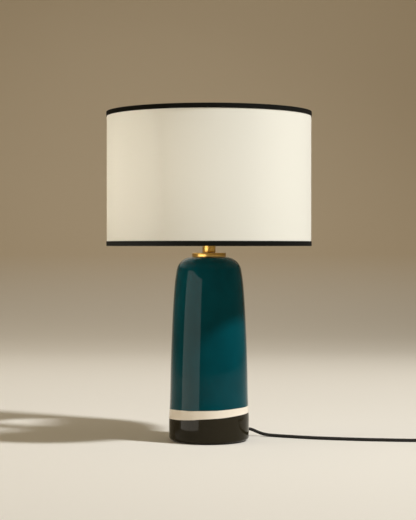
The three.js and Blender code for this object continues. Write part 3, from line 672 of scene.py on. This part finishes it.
ring_low, ring_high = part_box("shade_ring")
screw_ring = turned("shade_screw_ring", eased_ring(
    skirt_radius + 0.3 * mm, ring_high.x, ring_low.z, ring_high.z, 0.8 * mm), 96)
bpy.ops.object.mode_set(mode="EDIT")
bpy.ops.mesh.select_all(action="DESELECT")
form = bmesh.from_edit_mesh(screw_ring.data)
for face in form.faces:
    centre = face.calc_center_median()
    round_place = int((math.degrees(math.atan2(centre.y, centre.x)) % 360) / 3.75)
    tall = max(v.co.z for v in face.verts) - min(v.co.z for v in face.verts) > 3 * mm
    if tall and math.hypot(centre.x, centre.y) > ring_high.x - mm and round_place % 3 == 0:
        face.select_set(True)
bmesh.update_edit_mesh(screw_ring.data)
bpy.ops.mesh.inset(thickness=0.25 * mm, depth=-0.8 * mm, use_individual=True)
close_up(screw_ring)
dress(screw_ring, resin, "screw_ring", "black_plastic", "shade_ring")

# ------------------------------------------------------------------ shade
# White cotton is bonded to a stiff PVC lining and rolled into a drum. A black cotton binding is
# folded over each rim and the wire ring inside it, and glued down.
drum_low, drum_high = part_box("shade_drum")
cloth_radius = drum_high.x - 0.05 * mm
cloth_thickness = 0.4 * mm
cloth = turned("shade_cloth", [
    (cloth_radius - cloth_thickness, drum_low.z),
    (cloth_radius, drum_low.z),
    *[(cloth_radius, drum_low.z + (drum_high.z - drum_low.z) * i / 8) for i in range(1, 8)],
    (cloth_radius, drum_high.z),
    (cloth_radius - cloth_thickness, drum_high.z),
    (cloth_radius - cloth_thickness, drum_low.z),
], 240)


def wrap(piece, radius):
    """A UV map in millimetres for a piece wrapped round the axis: along the rim, and up."""
    uv = piece.data.uv_layers.new(name="UVMap").data
    for face in piece.data.polygons:
        middle = math.atan2(face.center.y, face.center.x)
        for corner in face.loop_indices:
            place = piece.data.vertices[piece.data.loops[corner].vertex_index].co
            turn = math.remainder(math.atan2(place.y, place.x) - middle, 2 * math.pi) + middle
            uv[corner].uv = (turn * radius / mm, place.z / mm)


wrap(cloth, cloth_radius)

# Plain woven cotton, off white and matt. Its threads are 0.5 mm apart, and it has slubs, thicker
# threads a few centimetres long that catch the light along the weft and the warp.
cotton, cotton_shader = new_material("woven_cotton", "#e8e7da", 0.9, Sheen_Weight=0.15, Sheen_Roughness=0.5)


def woven(material, shader, pitch, relief, slub, slub_relief, one, other):
    """A plain weave of threads a pitch apart, with slubs of a given width and length, in millimetres."""
    flat = add_node(material, "ShaderNodeTexCoord", output="UV")
    crossings = [add_node(material, "ShaderNodeTexWave", {"Vector": flat, "Scale": wave_unit / pitch}, "Fac",
                          bands_direction=way) for way in ("X", "Y")]
    cloth_relief = add_node(material, "ShaderNodeMath", {0: crossings[0], 1: crossings[1]}, operation="ADD")
    runs = []
    for size in (slub, (slub[1], slub[0])):
        run = add_node(material, "ShaderNodeMapping", {0: flat, 3: (1 / size[0], 1 / size[1], 1)})
        runs.append(add_node(material, "ShaderNodeTexNoise", {"Vector": run, "Scale": 1.0, "Detail": 2.0}))
    slubs = add_node(material, "ShaderNodeMath", {0: runs[0], 1: runs[1]}, operation="ADD")
    # The slubs are also painted lighter than the cloth around them: a painted highlight where the thicker
    # threads catch the light, beside their raised bump.
    slub_painted_highlight = add_node(material, "ShaderNodeMath", {0: slubs, 1: 0.5}, operation="MULTIPLY")
    two_tone(material, shader, slub_painted_highlight, one, other)
    fine = add_node(material, "ShaderNodeBump", {"Height": cloth_relief, "Distance": relief, "Strength": 0.6})
    add_node(material, "ShaderNodeBump",
             {"Height": slubs, "Distance": slub_relief, "Strength": 0.5, "Normal": fine},
             to=shader["Normal"])


woven(cotton, cotton_shader, 0.5, 0.03 * mm, (0.8, 30), 0.12 * mm, "#dfdfd3", "#e9e9e3")
dress(cloth, cotton, "shade", "shade_cloth", "shade_drum")

lining_outer = cloth_radius - cloth_thickness - 0.05 * mm
lining_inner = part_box("bottom_ring")[1].x + 0.3 * mm
lining = turned("shade_lining", [
    (lining_inner, drum_low.z), (lining_outer, drum_low.z), (lining_outer, drum_high.z),
    (lining_inner, drum_high.z), (lining_inner, drum_low.z)], 240)

# Calendered PVC sheet: white, smooth and slightly satin.
pvc, *_ = mottled("white_pvc_sheet", "#ece8dd", 0.5, 30.0, 2.0, "#eae6db", "#eeebe1", 0.02 * mm, 0.2)
dress(lining, pvc, "shade", "shade_cloth")

# Cotton bias binding, black and matt, with fine ribs across it 0.6 mm apart.
binding, binding_shader = new_material(
    "black_cotton_binding", "#100e0b", 0.9, Specular_IOR_Level=0.15)
woven(binding, binding_shader, 0.6, 0.06 * mm, (1.2, 8), 0.05 * mm, "#080806", "#13130f")

for name, node, up in (("rim_binding_lower", "bottom_trim", 1), ("rim_binding_upper", "top_trim", -1)):
    trim_low, trim_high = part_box(node)
    rim = trim_low.z if up > 0 else trim_high.z
    outer = trim_high.x
    height = trim_high.z - trim_low.z
    thick = 0.5 * mm
    inner = outer - 6.4 * mm
    fold = 0.45 * mm
    outline = [
        (inner, height - mm), (inner, fold), (inner + fold * 0.3, fold * 0.3), (inner + fold, 0),
        (outer - fold, 0), (outer - fold * 0.3, fold * 0.3), (outer, fold),
        (outer, height - fold * 0.6), (outer - fold * 0.6, height), (outer - thick, height),
        (outer - thick, thick), (inner + thick, thick), (inner + thick, height - mm), (inner, height - mm),
    ]
    trim = turned(name, [(r, rim + up * z) for r, z in outline], 240)
    wrap(trim, outer)
    dress(trim, binding, "shade", "trim_cloth", node)

# ------------------------------------------------------------------ bush where the lead leaves
# A soft PVC bush is pushed through the foot's wall from outside and held by a brass nut. Its boot
# tapers along the lead and is ribbed, so that the lead can't bend sharply where it leaves.


def move_to(piece, matrix):
    """Carries a mesh to its place, and leaves its object at the origin."""
    take_up(piece)
    piece.matrix_world = matrix
    bpy.ops.object.transform_apply(location=True, rotation=True, scale=True)


def cut_by(piece, cutter):
    """Cuts one piece out of another, and deletes the cutter."""
    take_up(piece)
    boolean = piece.modifiers.new("cut", "BOOLEAN")
    boolean.object = cutter
    boolean.solver = "EXACT"
    bpy.ops.object.modifier_apply(modifier=boolean.name)
    bpy.data.objects.remove(cutter)


def round_bar(radius, length, matrix, sides=32):
    """A plain cylinder along its own Z, to cut with."""
    deselect()
    bpy.ops.mesh.primitive_cylinder_add(vertices=sides, radius=radius, depth=length)
    cutter = bpy.context.object
    move_to(cutter, matrix)
    return cutter


bush_turn = Matrix.Rotation(math.radians(38), 4, "Z")
bush_height = 13.5 * mm
along_bush = Matrix.Translation((0, 0, bush_height)) @ bush_turn @ Matrix.Rotation(math.radians(90), 4, "Y")
bush_bore = cord_radius + 0.3 * mm
bush_start = 55 * mm
flange_start = body_high.x + 0.3 * mm
boot_start = flange_start + 2.5 * mm
boot_end = boot_start + 13.3 * mm
boot_ribs = 5
rib_points = []
for rib in range(boot_ribs):
    share, following = rib / boot_ribs, (rib + 1) / boot_ribs
    start = boot_start + (boot_end - boot_start) * share
    step = (boot_end - boot_start) / boot_ribs
    thick = (5.2 - 1.3 * share) * mm
    thin = max(thick - 0.8 * mm, bush_bore + 0.25 * mm)
    rib_points += [(thick, start + 0.1 * step), (thick, start + 0.6 * step), (thin, start + 0.68 * step),
                   (thin, start + 0.96 * step)]
bush = turned("lead_bush", [
    (bush_bore, bush_start), (4.6 * mm, bush_start), (4.6 * mm, flange_start), (6.1 * mm, flange_start),
    (6.5 * mm, flange_start + 0.4 * mm), (6.5 * mm, boot_start - 0.8 * mm),
    *arc((5.7 * mm, boot_start - 0.8 * mm), 0.8 * mm, 0, 90, 4),
    *rib_points, (3.7 * mm, boot_end), (bush_bore, boot_end), (bush_bore, bush_start),
], 48)
move_to(bush, along_bush)

hole_place = along_bush @ Matrix.Translation((0, 0, (foot_recess + body_high.x) / 2))
cut_by(ceramic, round_bar(4.9 * mm, 2 * (body_high.x - foot_recess), hole_place, 40))

# Soft PVC from a fine-sparked mould: black, rubbery and nearly matt.
soft_pvc, *_ = mottled("soft_black_pvc", "#171513", 0.62, 1800.0, 2.0, "#13110f", "#1d1b18", 0.08 * mm, 0.6)
dress(bush, soft_pvc, "root", "rubber", "cord_bush")

# ------------------------------------------------------------------ lead inside the lamp
# The lead bends up behind the bush and runs through the threaded rod to the lampholder.
inner_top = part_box("inner_lead")[1].z
bend = 18 * mm
inner_route = [(boot_end - 0.3 * mm, bush_height), (foot_recess, bush_height), (30 * mm, bush_height)]
inner_route += [(x, bush_height + z) for x, z in arc((bend, bend), bend, 270, 180, 6)]
inner_route += [(0, bush_height + 30 * mm), (0, inner_top / 2), (0, inner_top)]
inner_lead = sleeve("inner_braided_lead", smooth_path(
    [bush_turn @ Vector((x, 0, z)) for x, z in inner_route], 2.5 * mm), cord_radius, 12)
dress(inner_lead, braid, "root", "braid", "inner_lead")

# ------------------------------------------------------------------ inline switch
# Two moulded ABS shells meet at a fine parting line and hold the lead at both ends. A rocker tips
# in a window in the upper shell.
base_low, base_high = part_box("switch_base")
cover_low, cover_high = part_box("switch_cover")
switch_x, switch_y = (base_low.x + base_high.x) / 2, (base_low.y + base_high.y) / 2
switch_half = cover_high.z / 2
shell_wall = 2 * mm
corner_round, edge_round = 7 * mm, 1.6 * mm
window = (20 * mm, 10.6 * mm)


def block(name, low, high):
    """A block between two corners, with its mesh in place."""
    deselect()
    bpy.ops.mesh.primitive_cube_add(size=1)
    piece = bpy.context.object
    piece.name = piece.data.name = name
    piece.location = [(a + b) / 2 for a, b in zip(low, high)]
    piece.scale = [b - a for a, b in zip(low, high)]
    bpy.ops.object.transform_apply(location=True, scale=True)
    return piece


def bevel_edges(piece, wanted, width, steps):
    """Rounds over the edges that a test on their two ends picks."""
    take_up(piece)
    bpy.ops.object.mode_set(mode="EDIT")
    bpy.ops.mesh.select_mode(type="EDGE")
    bpy.ops.mesh.select_all(action="DESELECT")
    form = bmesh.from_edit_mesh(piece.data)
    for edge in form.edges:
        edge.select_set(wanted(*[vertex.co for vertex in edge.verts]))
    bmesh.update_edit_mesh(piece.data)
    bpy.ops.mesh.bevel(offset=width, segments=steps, profile=0.5)
    bpy.ops.object.mode_set(mode="OBJECT")


def pick_faces(piece, wanted):
    """Leaves a piece in edit mode with the faces selected that a test picks."""
    bpy.ops.object.mode_set(mode="EDIT")
    bpy.ops.mesh.select_mode(type="FACE")
    bpy.ops.mesh.select_all(action="DESELECT")
    form = bmesh.from_edit_mesh(piece.data)
    for face in form.faces:
        face.select_set(wanted(face))
    bmesh.update_edit_mesh(piece.data)


def shell(name, low, high, closed_z, open_z):
    """Half of the switch: a rounded block, hollowed from its open side."""
    piece = block(name, low, high)
    bevel_edges(piece, lambda a, b: abs(a.z - b.z) > mm, corner_round, 10)
    bevel_edges(piece, lambda a, b: abs(a.z - closed_z) + abs(b.z - closed_z) < mm / 100, edge_round, 5)
    pick_faces(piece, lambda face: all(abs(vertex.co.z - open_z) < mm / 100 for vertex in face.verts))
    bpy.ops.mesh.inset(thickness=shell_wall)
    depth = closed_z - open_z
    bpy.ops.mesh.extrude_region_move(TRANSFORM_OT_translate={
        "value": (0, 0, depth - math.copysign(shell_wall, depth))})
    bpy.ops.object.mode_set(mode="OBJECT")
    lead_bore = Matrix.Translation((switch_x, switch_y, switch_half))
    lead_bore = lead_bore @ Matrix.Rotation(math.radians(90), 4, "Y")
    cut_by(piece, round_bar(bush_bore, high.x - low.x + 2 * mm, lead_bore))
    return piece


switch_bottom = shell("switch_lower_shell", base_low, base_high, base_low.z, base_high.z)
close_up(switch_bottom, 30)
switch_top = shell("switch_upper_shell", cover_low, cover_high, cover_high.z, cover_low.z)
cut_by(switch_top, block("window", (switch_x - window[0] / 2, switch_y - window[1] / 2, cover_low.z + mm), (
    switch_x + window[0] / 2, switch_y + window[1] / 2, cover_high.z + mm)))
close_up(switch_top, 30)

# Moulded ABS with a fine spark texture: black, with a low sheen.
abs_plastic, *_ = mottled(
    "spark_textured_abs", "#151311", 0.42, 2200.0, 2.0, "#12100e", "#1b1917", 0.06 * mm, 0.6)
dress(switch_bottom, abs_plastic, "root", "black_plastic", "switch_base")
dress(switch_top, abs_plastic, "root", "black_plastic", "switch_cover")


def traced(name, outline, depth):
    """A plate from an outline in X and Y: traced by extruding one corner, filled, and thickened."""
    deselect()
    bpy.ops.mesh.primitive_plane_add(size=mm)
    piece = bpy.context.object
    piece.name = piece.data.name = name
    bpy.ops.object.mode_set(mode="EDIT")
    bpy.ops.mesh.select_mode(type="VERT")
    bpy.ops.mesh.select_all(action="SELECT")
    bpy.ops.mesh.merge(type="CENTER")
    bpy.ops.transform.translate(value=(*outline[0], 0))
    for (x1, y1), (x2, y2) in zip(outline, outline[1:]):
        bpy.ops.mesh.extrude_vertices_move(TRANSFORM_OT_translate={"value": (x2 - x1, y2 - y1, 0)})
    bpy.ops.mesh.select_all(action="SELECT")
    bpy.ops.mesh.edge_face_add()
    bpy.ops.mesh.extrude_region_move(TRANSFORM_OT_translate={"value": (0, 0, depth)})
    close_up(piece)
    return piece


rocker_pivot = 10.8 * mm
rocker_reach = window[0] / 2 - 0.3 * mm
rocker_depth = window[1] - 0.6 * mm
rocker_height, keel_depth = 5.2 * mm, 2.2 * mm
rocker_top = math.degrees(math.asin(rocker_height / rocker_reach))
rocker_keel = math.degrees(math.asin(keel_depth / rocker_reach))
dip_low, dip_rise = 3.4 * mm, 1.8 * mm
rocker_tilt = 8
dip = [(rocker_reach * math.cos(math.radians(rocker_top)) * t, dip_low + dip_rise * t * t)
       for t in (0.75, 0.5, 0.25, 0, -0.25, -0.5, -0.75)]
rocker = traced("switch_rocker_key", [
    *arc((0, 0), rocker_reach, -rocker_keel, rocker_top, 6), *dip,
    *arc((0, 0), rocker_reach, 180 - rocker_top, 180 + rocker_keel, 6)], rocker_depth)
bevel_edges(rocker, lambda a, b: abs(a.z - b.z) < mm / 100, 0.5 * mm, 3)
rocker_stand = Matrix.Rotation(math.radians(rocker_tilt), 4, "Y") @ Matrix.Rotation(math.radians(90), 4, "X")
move_to(rocker, Matrix.Translation((switch_x, switch_y, rocker_pivot)) @ rocker_stand @ Matrix.Translation(
    (0, 0, -rocker_depth / 2)))
close_up(rocker, 30)
dress(rocker, abs_plastic, "rocker", "black_plastic", "switch_rocker")

# ------------------------------------------------------------------ plug
# A flat two-pin plug moulded onto the lead in one shot, waisted for the fingers, with a ribbed
# boot. Its pins are nickel-plated brass with a black sleeve at the root.
plug_turn = Matrix.Rotation(math.radians(60), 4, "Z")
plug_stand = Matrix.Translation((469.4 * mm, 131.5 * mm, 0)) @ plug_turn
plug_boot, plug_front, plug_half = 14 * mm, 50 * mm, 17.65 * mm
plug_height = 13.7 * mm
plug_side = [(p.x, p.y) for p in smooth_path([
    Vector((plug_boot, 4.4 * mm, 0)), Vector((plug_boot + 4 * mm, 6.6 * mm, 0)),
    Vector((plug_boot + 9 * mm, 10.2 * mm, 0)), Vector((plug_boot + 16 * mm, 15.2 * mm, 0)),
    Vector((plug_boot + 22 * mm, plug_half, 0))], 2.4 * mm)]
plug_side.append((plug_front, plug_half))
plug = traced("plug_moulding", [*plug_side, *[(x, -y) for x, y in reversed(plug_side)]], plug_height)
bevel_edges(plug, lambda a, b: abs(a.z - b.z) < mm / 100, 2.4 * mm, 5)
boot_outline = [(0, 0)]
for rib in range(5):
    start = (0.3 + 2.7 * rib) * mm
    wide = (3.7 + 0.26 * rib) * mm
    boot_outline += [(wide, start), (wide, start + 1.7 * mm), (wide - 0.5 * mm, start + 1.9 * mm),
                     (wide - 0.5 * mm, start + 2.5 * mm)]
boot_outline += [(5 * mm, plug_boot), (5 * mm, plug_boot + 3 * mm), (0, plug_boot + 3 * mm)]
boot = turned("plug_boot", boot_outline, 40)
move_to(boot, Matrix.Translation((0, 0, plug_height / 2)) @ Matrix.Rotation(math.radians(90), 4, "Y"))
take_up(plug)
union = plug.modifiers.new("boot", "BOOLEAN")
union.operation, union.object, union.solver = "UNION", boot, "EXACT"
bpy.ops.object.modifier_apply(modifier=union.name)
bpy.data.objects.remove(boot)
pin_radius, pin_depth, pin_length = 2 * mm, 10 * mm, 19 * mm
pin_off_centre = 9.3 * mm
pin_play = 0.3 * mm
pin_step = 0.15 * mm
for number, side in enumerate((-1, 1)):
    pin_line = Matrix.Translation((0, side * pin_off_centre, plug_height / 2))
    pin_line = pin_line @ Matrix.Rotation(math.radians(90), 4, "Y")
    pin_mouth = pin_line @ Matrix.Translation((0, 0, plug_front))
    cut_by(plug, round_bar(pin_radius + pin_play, 2 * pin_depth, pin_mouth))
    root = plug_front - pin_depth + pin_play
    pin = turned(f"plug_pin_turned_{number + 1}", [
        (0, root), (pin_radius, root), (pin_radius, plug_front + 9.6 * mm),
        (pin_radius - pin_step, plug_front + 9.8 * mm),
        (pin_radius - pin_step, plug_front + pin_length - 1.2 * mm),
        *arc((pin_radius - 1.2 * mm, plug_front + pin_length - 1.2 * mm), 1.05 * mm, 20, 90, 4),
        (0, plug_front + pin_length)], 32)
    move_to(pin, plug_stand @ pin_line)
    dress(pin, nickel, "root", "nickel", f"plug_pin_{number + 1}")
move_to(plug, plug_stand)
close_up(plug, 30)
dress(plug, soft_pvc, "root", "black_plastic", "plug_body")

# ------------------------------------------------------------------ ties round the coil
# Two flat moulded straps hold the spare lead together until it is needed.
tie_play, tie_wall, tie_width = 0.3 * mm, mm, 8 * mm
tie_corner = 2.2 * mm
tie_low, tie_high = 0.15 * mm, coil_high.z + tie_play + tie_wall
tie_in, tie_out = 19.56 * mm, coil_high.x - coil_x + tie_play + tie_wall
tie_corners = [
    ((tie_out - tie_corner, tie_low + tie_corner), -90),
    ((tie_out - tie_corner, tie_high - tie_corner), 0),
    ((tie_in + tie_corner, tie_high - tie_corner), 90),
    ((tie_in + tie_corner, tie_low + tie_corner), 180),
]
for number, angle in enumerate((120, 240)):
    outline = []
    for centre, start in tie_corners:
        outline += arc(centre, tie_corner, start, start + 90, 5)
    tie = traced(f"coil_strap_{number + 1}", outline, tie_width)
    pick_faces(tie, lambda face: len(face.verts) > 4)
    bpy.ops.mesh.delete(type="ONLY_FACE")
    bpy.ops.object.mode_set(mode="OBJECT")
    wall = tie.modifiers.new("thickness", "SOLIDIFY")
    wall.thickness, wall.offset = tie_wall, -1
    bpy.ops.object.modifier_apply(modifier=wall.name)
    softened = tie.modifiers.new("softened", "BEVEL")
    softened.width, softened.segments, softened.angle_limit = 0.25 * mm, 2, math.radians(50)
    bpy.ops.object.modifier_apply(modifier=softened.name)
    stand = Matrix.Translation((coil_x, coil_y, 0)) @ Matrix.Rotation(math.radians(angle), 4, "Z")
    move_to(tie, stand @ Matrix.Translation((0, tie_width / 2, 0)) @ Matrix.Rotation(math.radians(90), 4, "X"))
    bpy.ops.object.shade_smooth_by_angle(angle=math.radians(35))
    dress(tie, soft_pvc, "root", "rubber", f"coil_tie_{number + 1}")

# ------------------------------------------------------------------ parts that stay out of sight
# The rod, its nut and washers, the foot's cover, and the wiring inside the holder and the switch
# keep the shapes of the model.

# Zinc-plated steel: grey, with a soft bluish sheen. The rod's thread is 1 mm from crest to crest.
zinc, zinc_shader, zinc_place, _ = mottled(
    "zinc_plated_steel", "#a9abad", 0.38, 250.0, 3.0, "#9b9ea2", "#b7b8b9", Metallic=1.0)
thread = add_node(zinc, "ShaderNodeTexWave", {"Vector": zinc_place, "Scale": wave_unit / mm}, "Fac",
                  bands_direction="Z")
add_node(zinc, "ShaderNodeBump", {"Height": thread, "Distance": 0.4 * mm, "Strength": 0.6},
         to=zinc_shader["Normal"])

# Hardboard: brown pressed fibre, smooth on one side.
hardboard, *_ = mottled("pressed_hardboard", "#5b4636", 0.8, 600.0, 4.0, "#4b392b", "#6b5342")

# Extruded PVC insulation on the two wires, brown and blue, slightly waxy.
brown_wire, *_ = mottled("brown_pvc_insulation", "#5a3320", 0.4, 400.0, 2.0, "#4b2a19", "#5a3320")
blue_wire, *_ = mottled("blue_pvc_insulation", "#2c4f86", 0.4, 400.0, 2.0, "#244273", "#2c4f86")

finishes = {
    hardboard: ["base_cover"],
    soft_pvc: ["rubber_washer"],
    zinc: ["steel_washer", "rod_nut", "threaded_rod", "terminal_screw_1", "terminal_screw_2",
           "switch_screw_1", "switch_screw_2"],
    brass: ["centre_contact", "terminal_1", "terminal_2", "bush_nut", "switch_terminal_1",
            "switch_terminal_2"],
    nickel: ["switch_blade"],
    brown_wire: ["lead_core_1"],
    blue_wire: ["lead_core_2"],
}
for material, nodes in finishes.items():
    for node in nodes:
        cad_mesh = bpy.data.objects[node].data
        cad_mesh.materials.clear()
        cad_mesh.materials.append(material)

# ------------------------------------------------------------------ stage and light
# A pale table that sweeps up into a backdrop. The paper turns darker and warmer over its first 0.3 m of
# height, painted shade where less light reaches up the backdrop. A high soft light stands to the right, a
# warm one to the left, and two narrow beams fall on little but the shade. Two more light the table
# behind, one the backdrop, and a strip close to the ceramic shows only in what is glossy.
deselect()
bpy.ops.mesh.primitive_plane_add(size=1, location=(0, -1.5, 0))
floor = bpy.context.object
floor.name = "sweep"
floor.scale = (9, 3, 1)
bpy.ops.object.transform_apply(location=True, scale=True)
bpy.ops.object.mode_set(mode="EDIT")
bpy.ops.mesh.select_all(action="DESELECT")
form = bmesh.from_edit_mesh(floor.data)
for edge in form.edges:
    if all(vertex.co.y > -0.1 for vertex in edge.verts):
        edge.select_set(True)
bmesh.update_edit_mesh(floor.data)
bpy.ops.mesh.extrude_edges_move(TRANSFORM_OT_translate={"value": (0, 2.2, 0)})
sweep_radius = 4.2
for step in range(16):
    a, b = math.radians(90 * step / 16), math.radians(90 * (step + 1) / 16)
    bpy.ops.mesh.extrude_edges_move(TRANSFORM_OT_translate={"value": (
        0, sweep_radius * (math.sin(b) - math.sin(a)), sweep_radius * (math.cos(a) - math.cos(b)))})
bpy.ops.mesh.extrude_edges_move(TRANSFORM_OT_translate={"value": (0, 0, 2.5)})
bpy.ops.object.mode_set(mode="OBJECT")
bpy.ops.object.shade_smooth()
paper, paper_shader = new_material("sweep_paper", "#ece8de", 0.9, Specular_IOR_Level=0.0)
paper_place = add_node(paper, "ShaderNodeTexCoord", output="Object")
paper_height = add_node(paper, "ShaderNodeSeparateXYZ", {0: paper_place}, "Z")
# Painted shade: the paper is coloured darker and warmer over its first 0.3 m of height, where less light falls
# up the backdrop.
painted_backdrop_shade = add_node(paper, "ShaderNodeMapRange", {0: paper_height, 1: 0.0, 2: 0.3})
add_node(paper, "ShaderNodeMix", {0: painted_backdrop_shade, 6: "#f1efe8", 7: "#ddcdb2"}, 2, paper_shader["Base Color"],
         data_type="RGBA")
floor.data.materials.append(paper)


def softbox(name, place, aim, size, power, color, spread=180, glossy=False):
    """A rectangular area light at a place, turned to a point; few of them show in glossy surfaces."""
    data = bpy.data.lights.new(name, "AREA")
    data.shape = "RECTANGLE"
    data.size, data.size_y = size
    data.energy = power
    data.color = linear(color)[:3]
    data.spread = math.radians(spread)
    light = bpy.data.objects.new(name, data)
    light.location = place
    light.rotation_euler = (Vector(aim) - Vector(place)).to_track_quat("-Z", "Y").to_euler()
    bpy.context.scene.collection.objects.link(light)
    light.visible_camera = False
    light.visible_glossy = glossy
    return light


softbox("key_right", (2.88, -1.56, 3.75), (0, 0, 0.2), (0.42, 0.42), 46, "#fffefd", 90, glossy=True)
softbox("fill_left", (-1.7, -0.3, 0.75), (0, 0, 0.35), (1.2, 1.4), 6.5, "#fff0dc")
softbox("shade_front", (0.1, -1.7, 0.4), (0, 0, 0.47), (0.6, 0.14), 0.062, "#fff8f2", 18)
softbox("shade_left", (-1.6, -0.6, 0.4), (0, 0, 0.47), (0.5, 0.14), 0.18, "#fff6ea", 18)
strip = softbox("strip_left", (-0.165, -0.147, 0.162), (-0.001, -0.016, 0.162), (0.21, 0.345), 0.7,
                "#fffaf0", glossy=True)
strip.rotation_euler.rotate_axis("Z", math.radians(-4.7))
strip.visible_diffuse = False
softbox("backdrop", (0, 1.5, 2.6), (0, 6.2, 1.4), (2.4, 0.8), 10.6, "#f6faff", 100)
softbox("background_low", (-1.1, 2.2, 1.6), (-1.1, 2.2, 0), (3.0, 1.2), 1.5, "#ffefda", 80)
softbox("background_near", (0, 1.25, 1.9), (0, 1.25, 0), (3.4, 1.2), 2.8, "#fffaf2", 70)
world = bpy.data.worlds.new("studio")
world.use_nodes = True
world.node_tree.nodes["Background"].inputs["Color"].default_value = linear("#c8b28a")
world.node_tree.nodes["Background"].inputs["Strength"].default_value = 0.335
bpy.context.scene.world = world
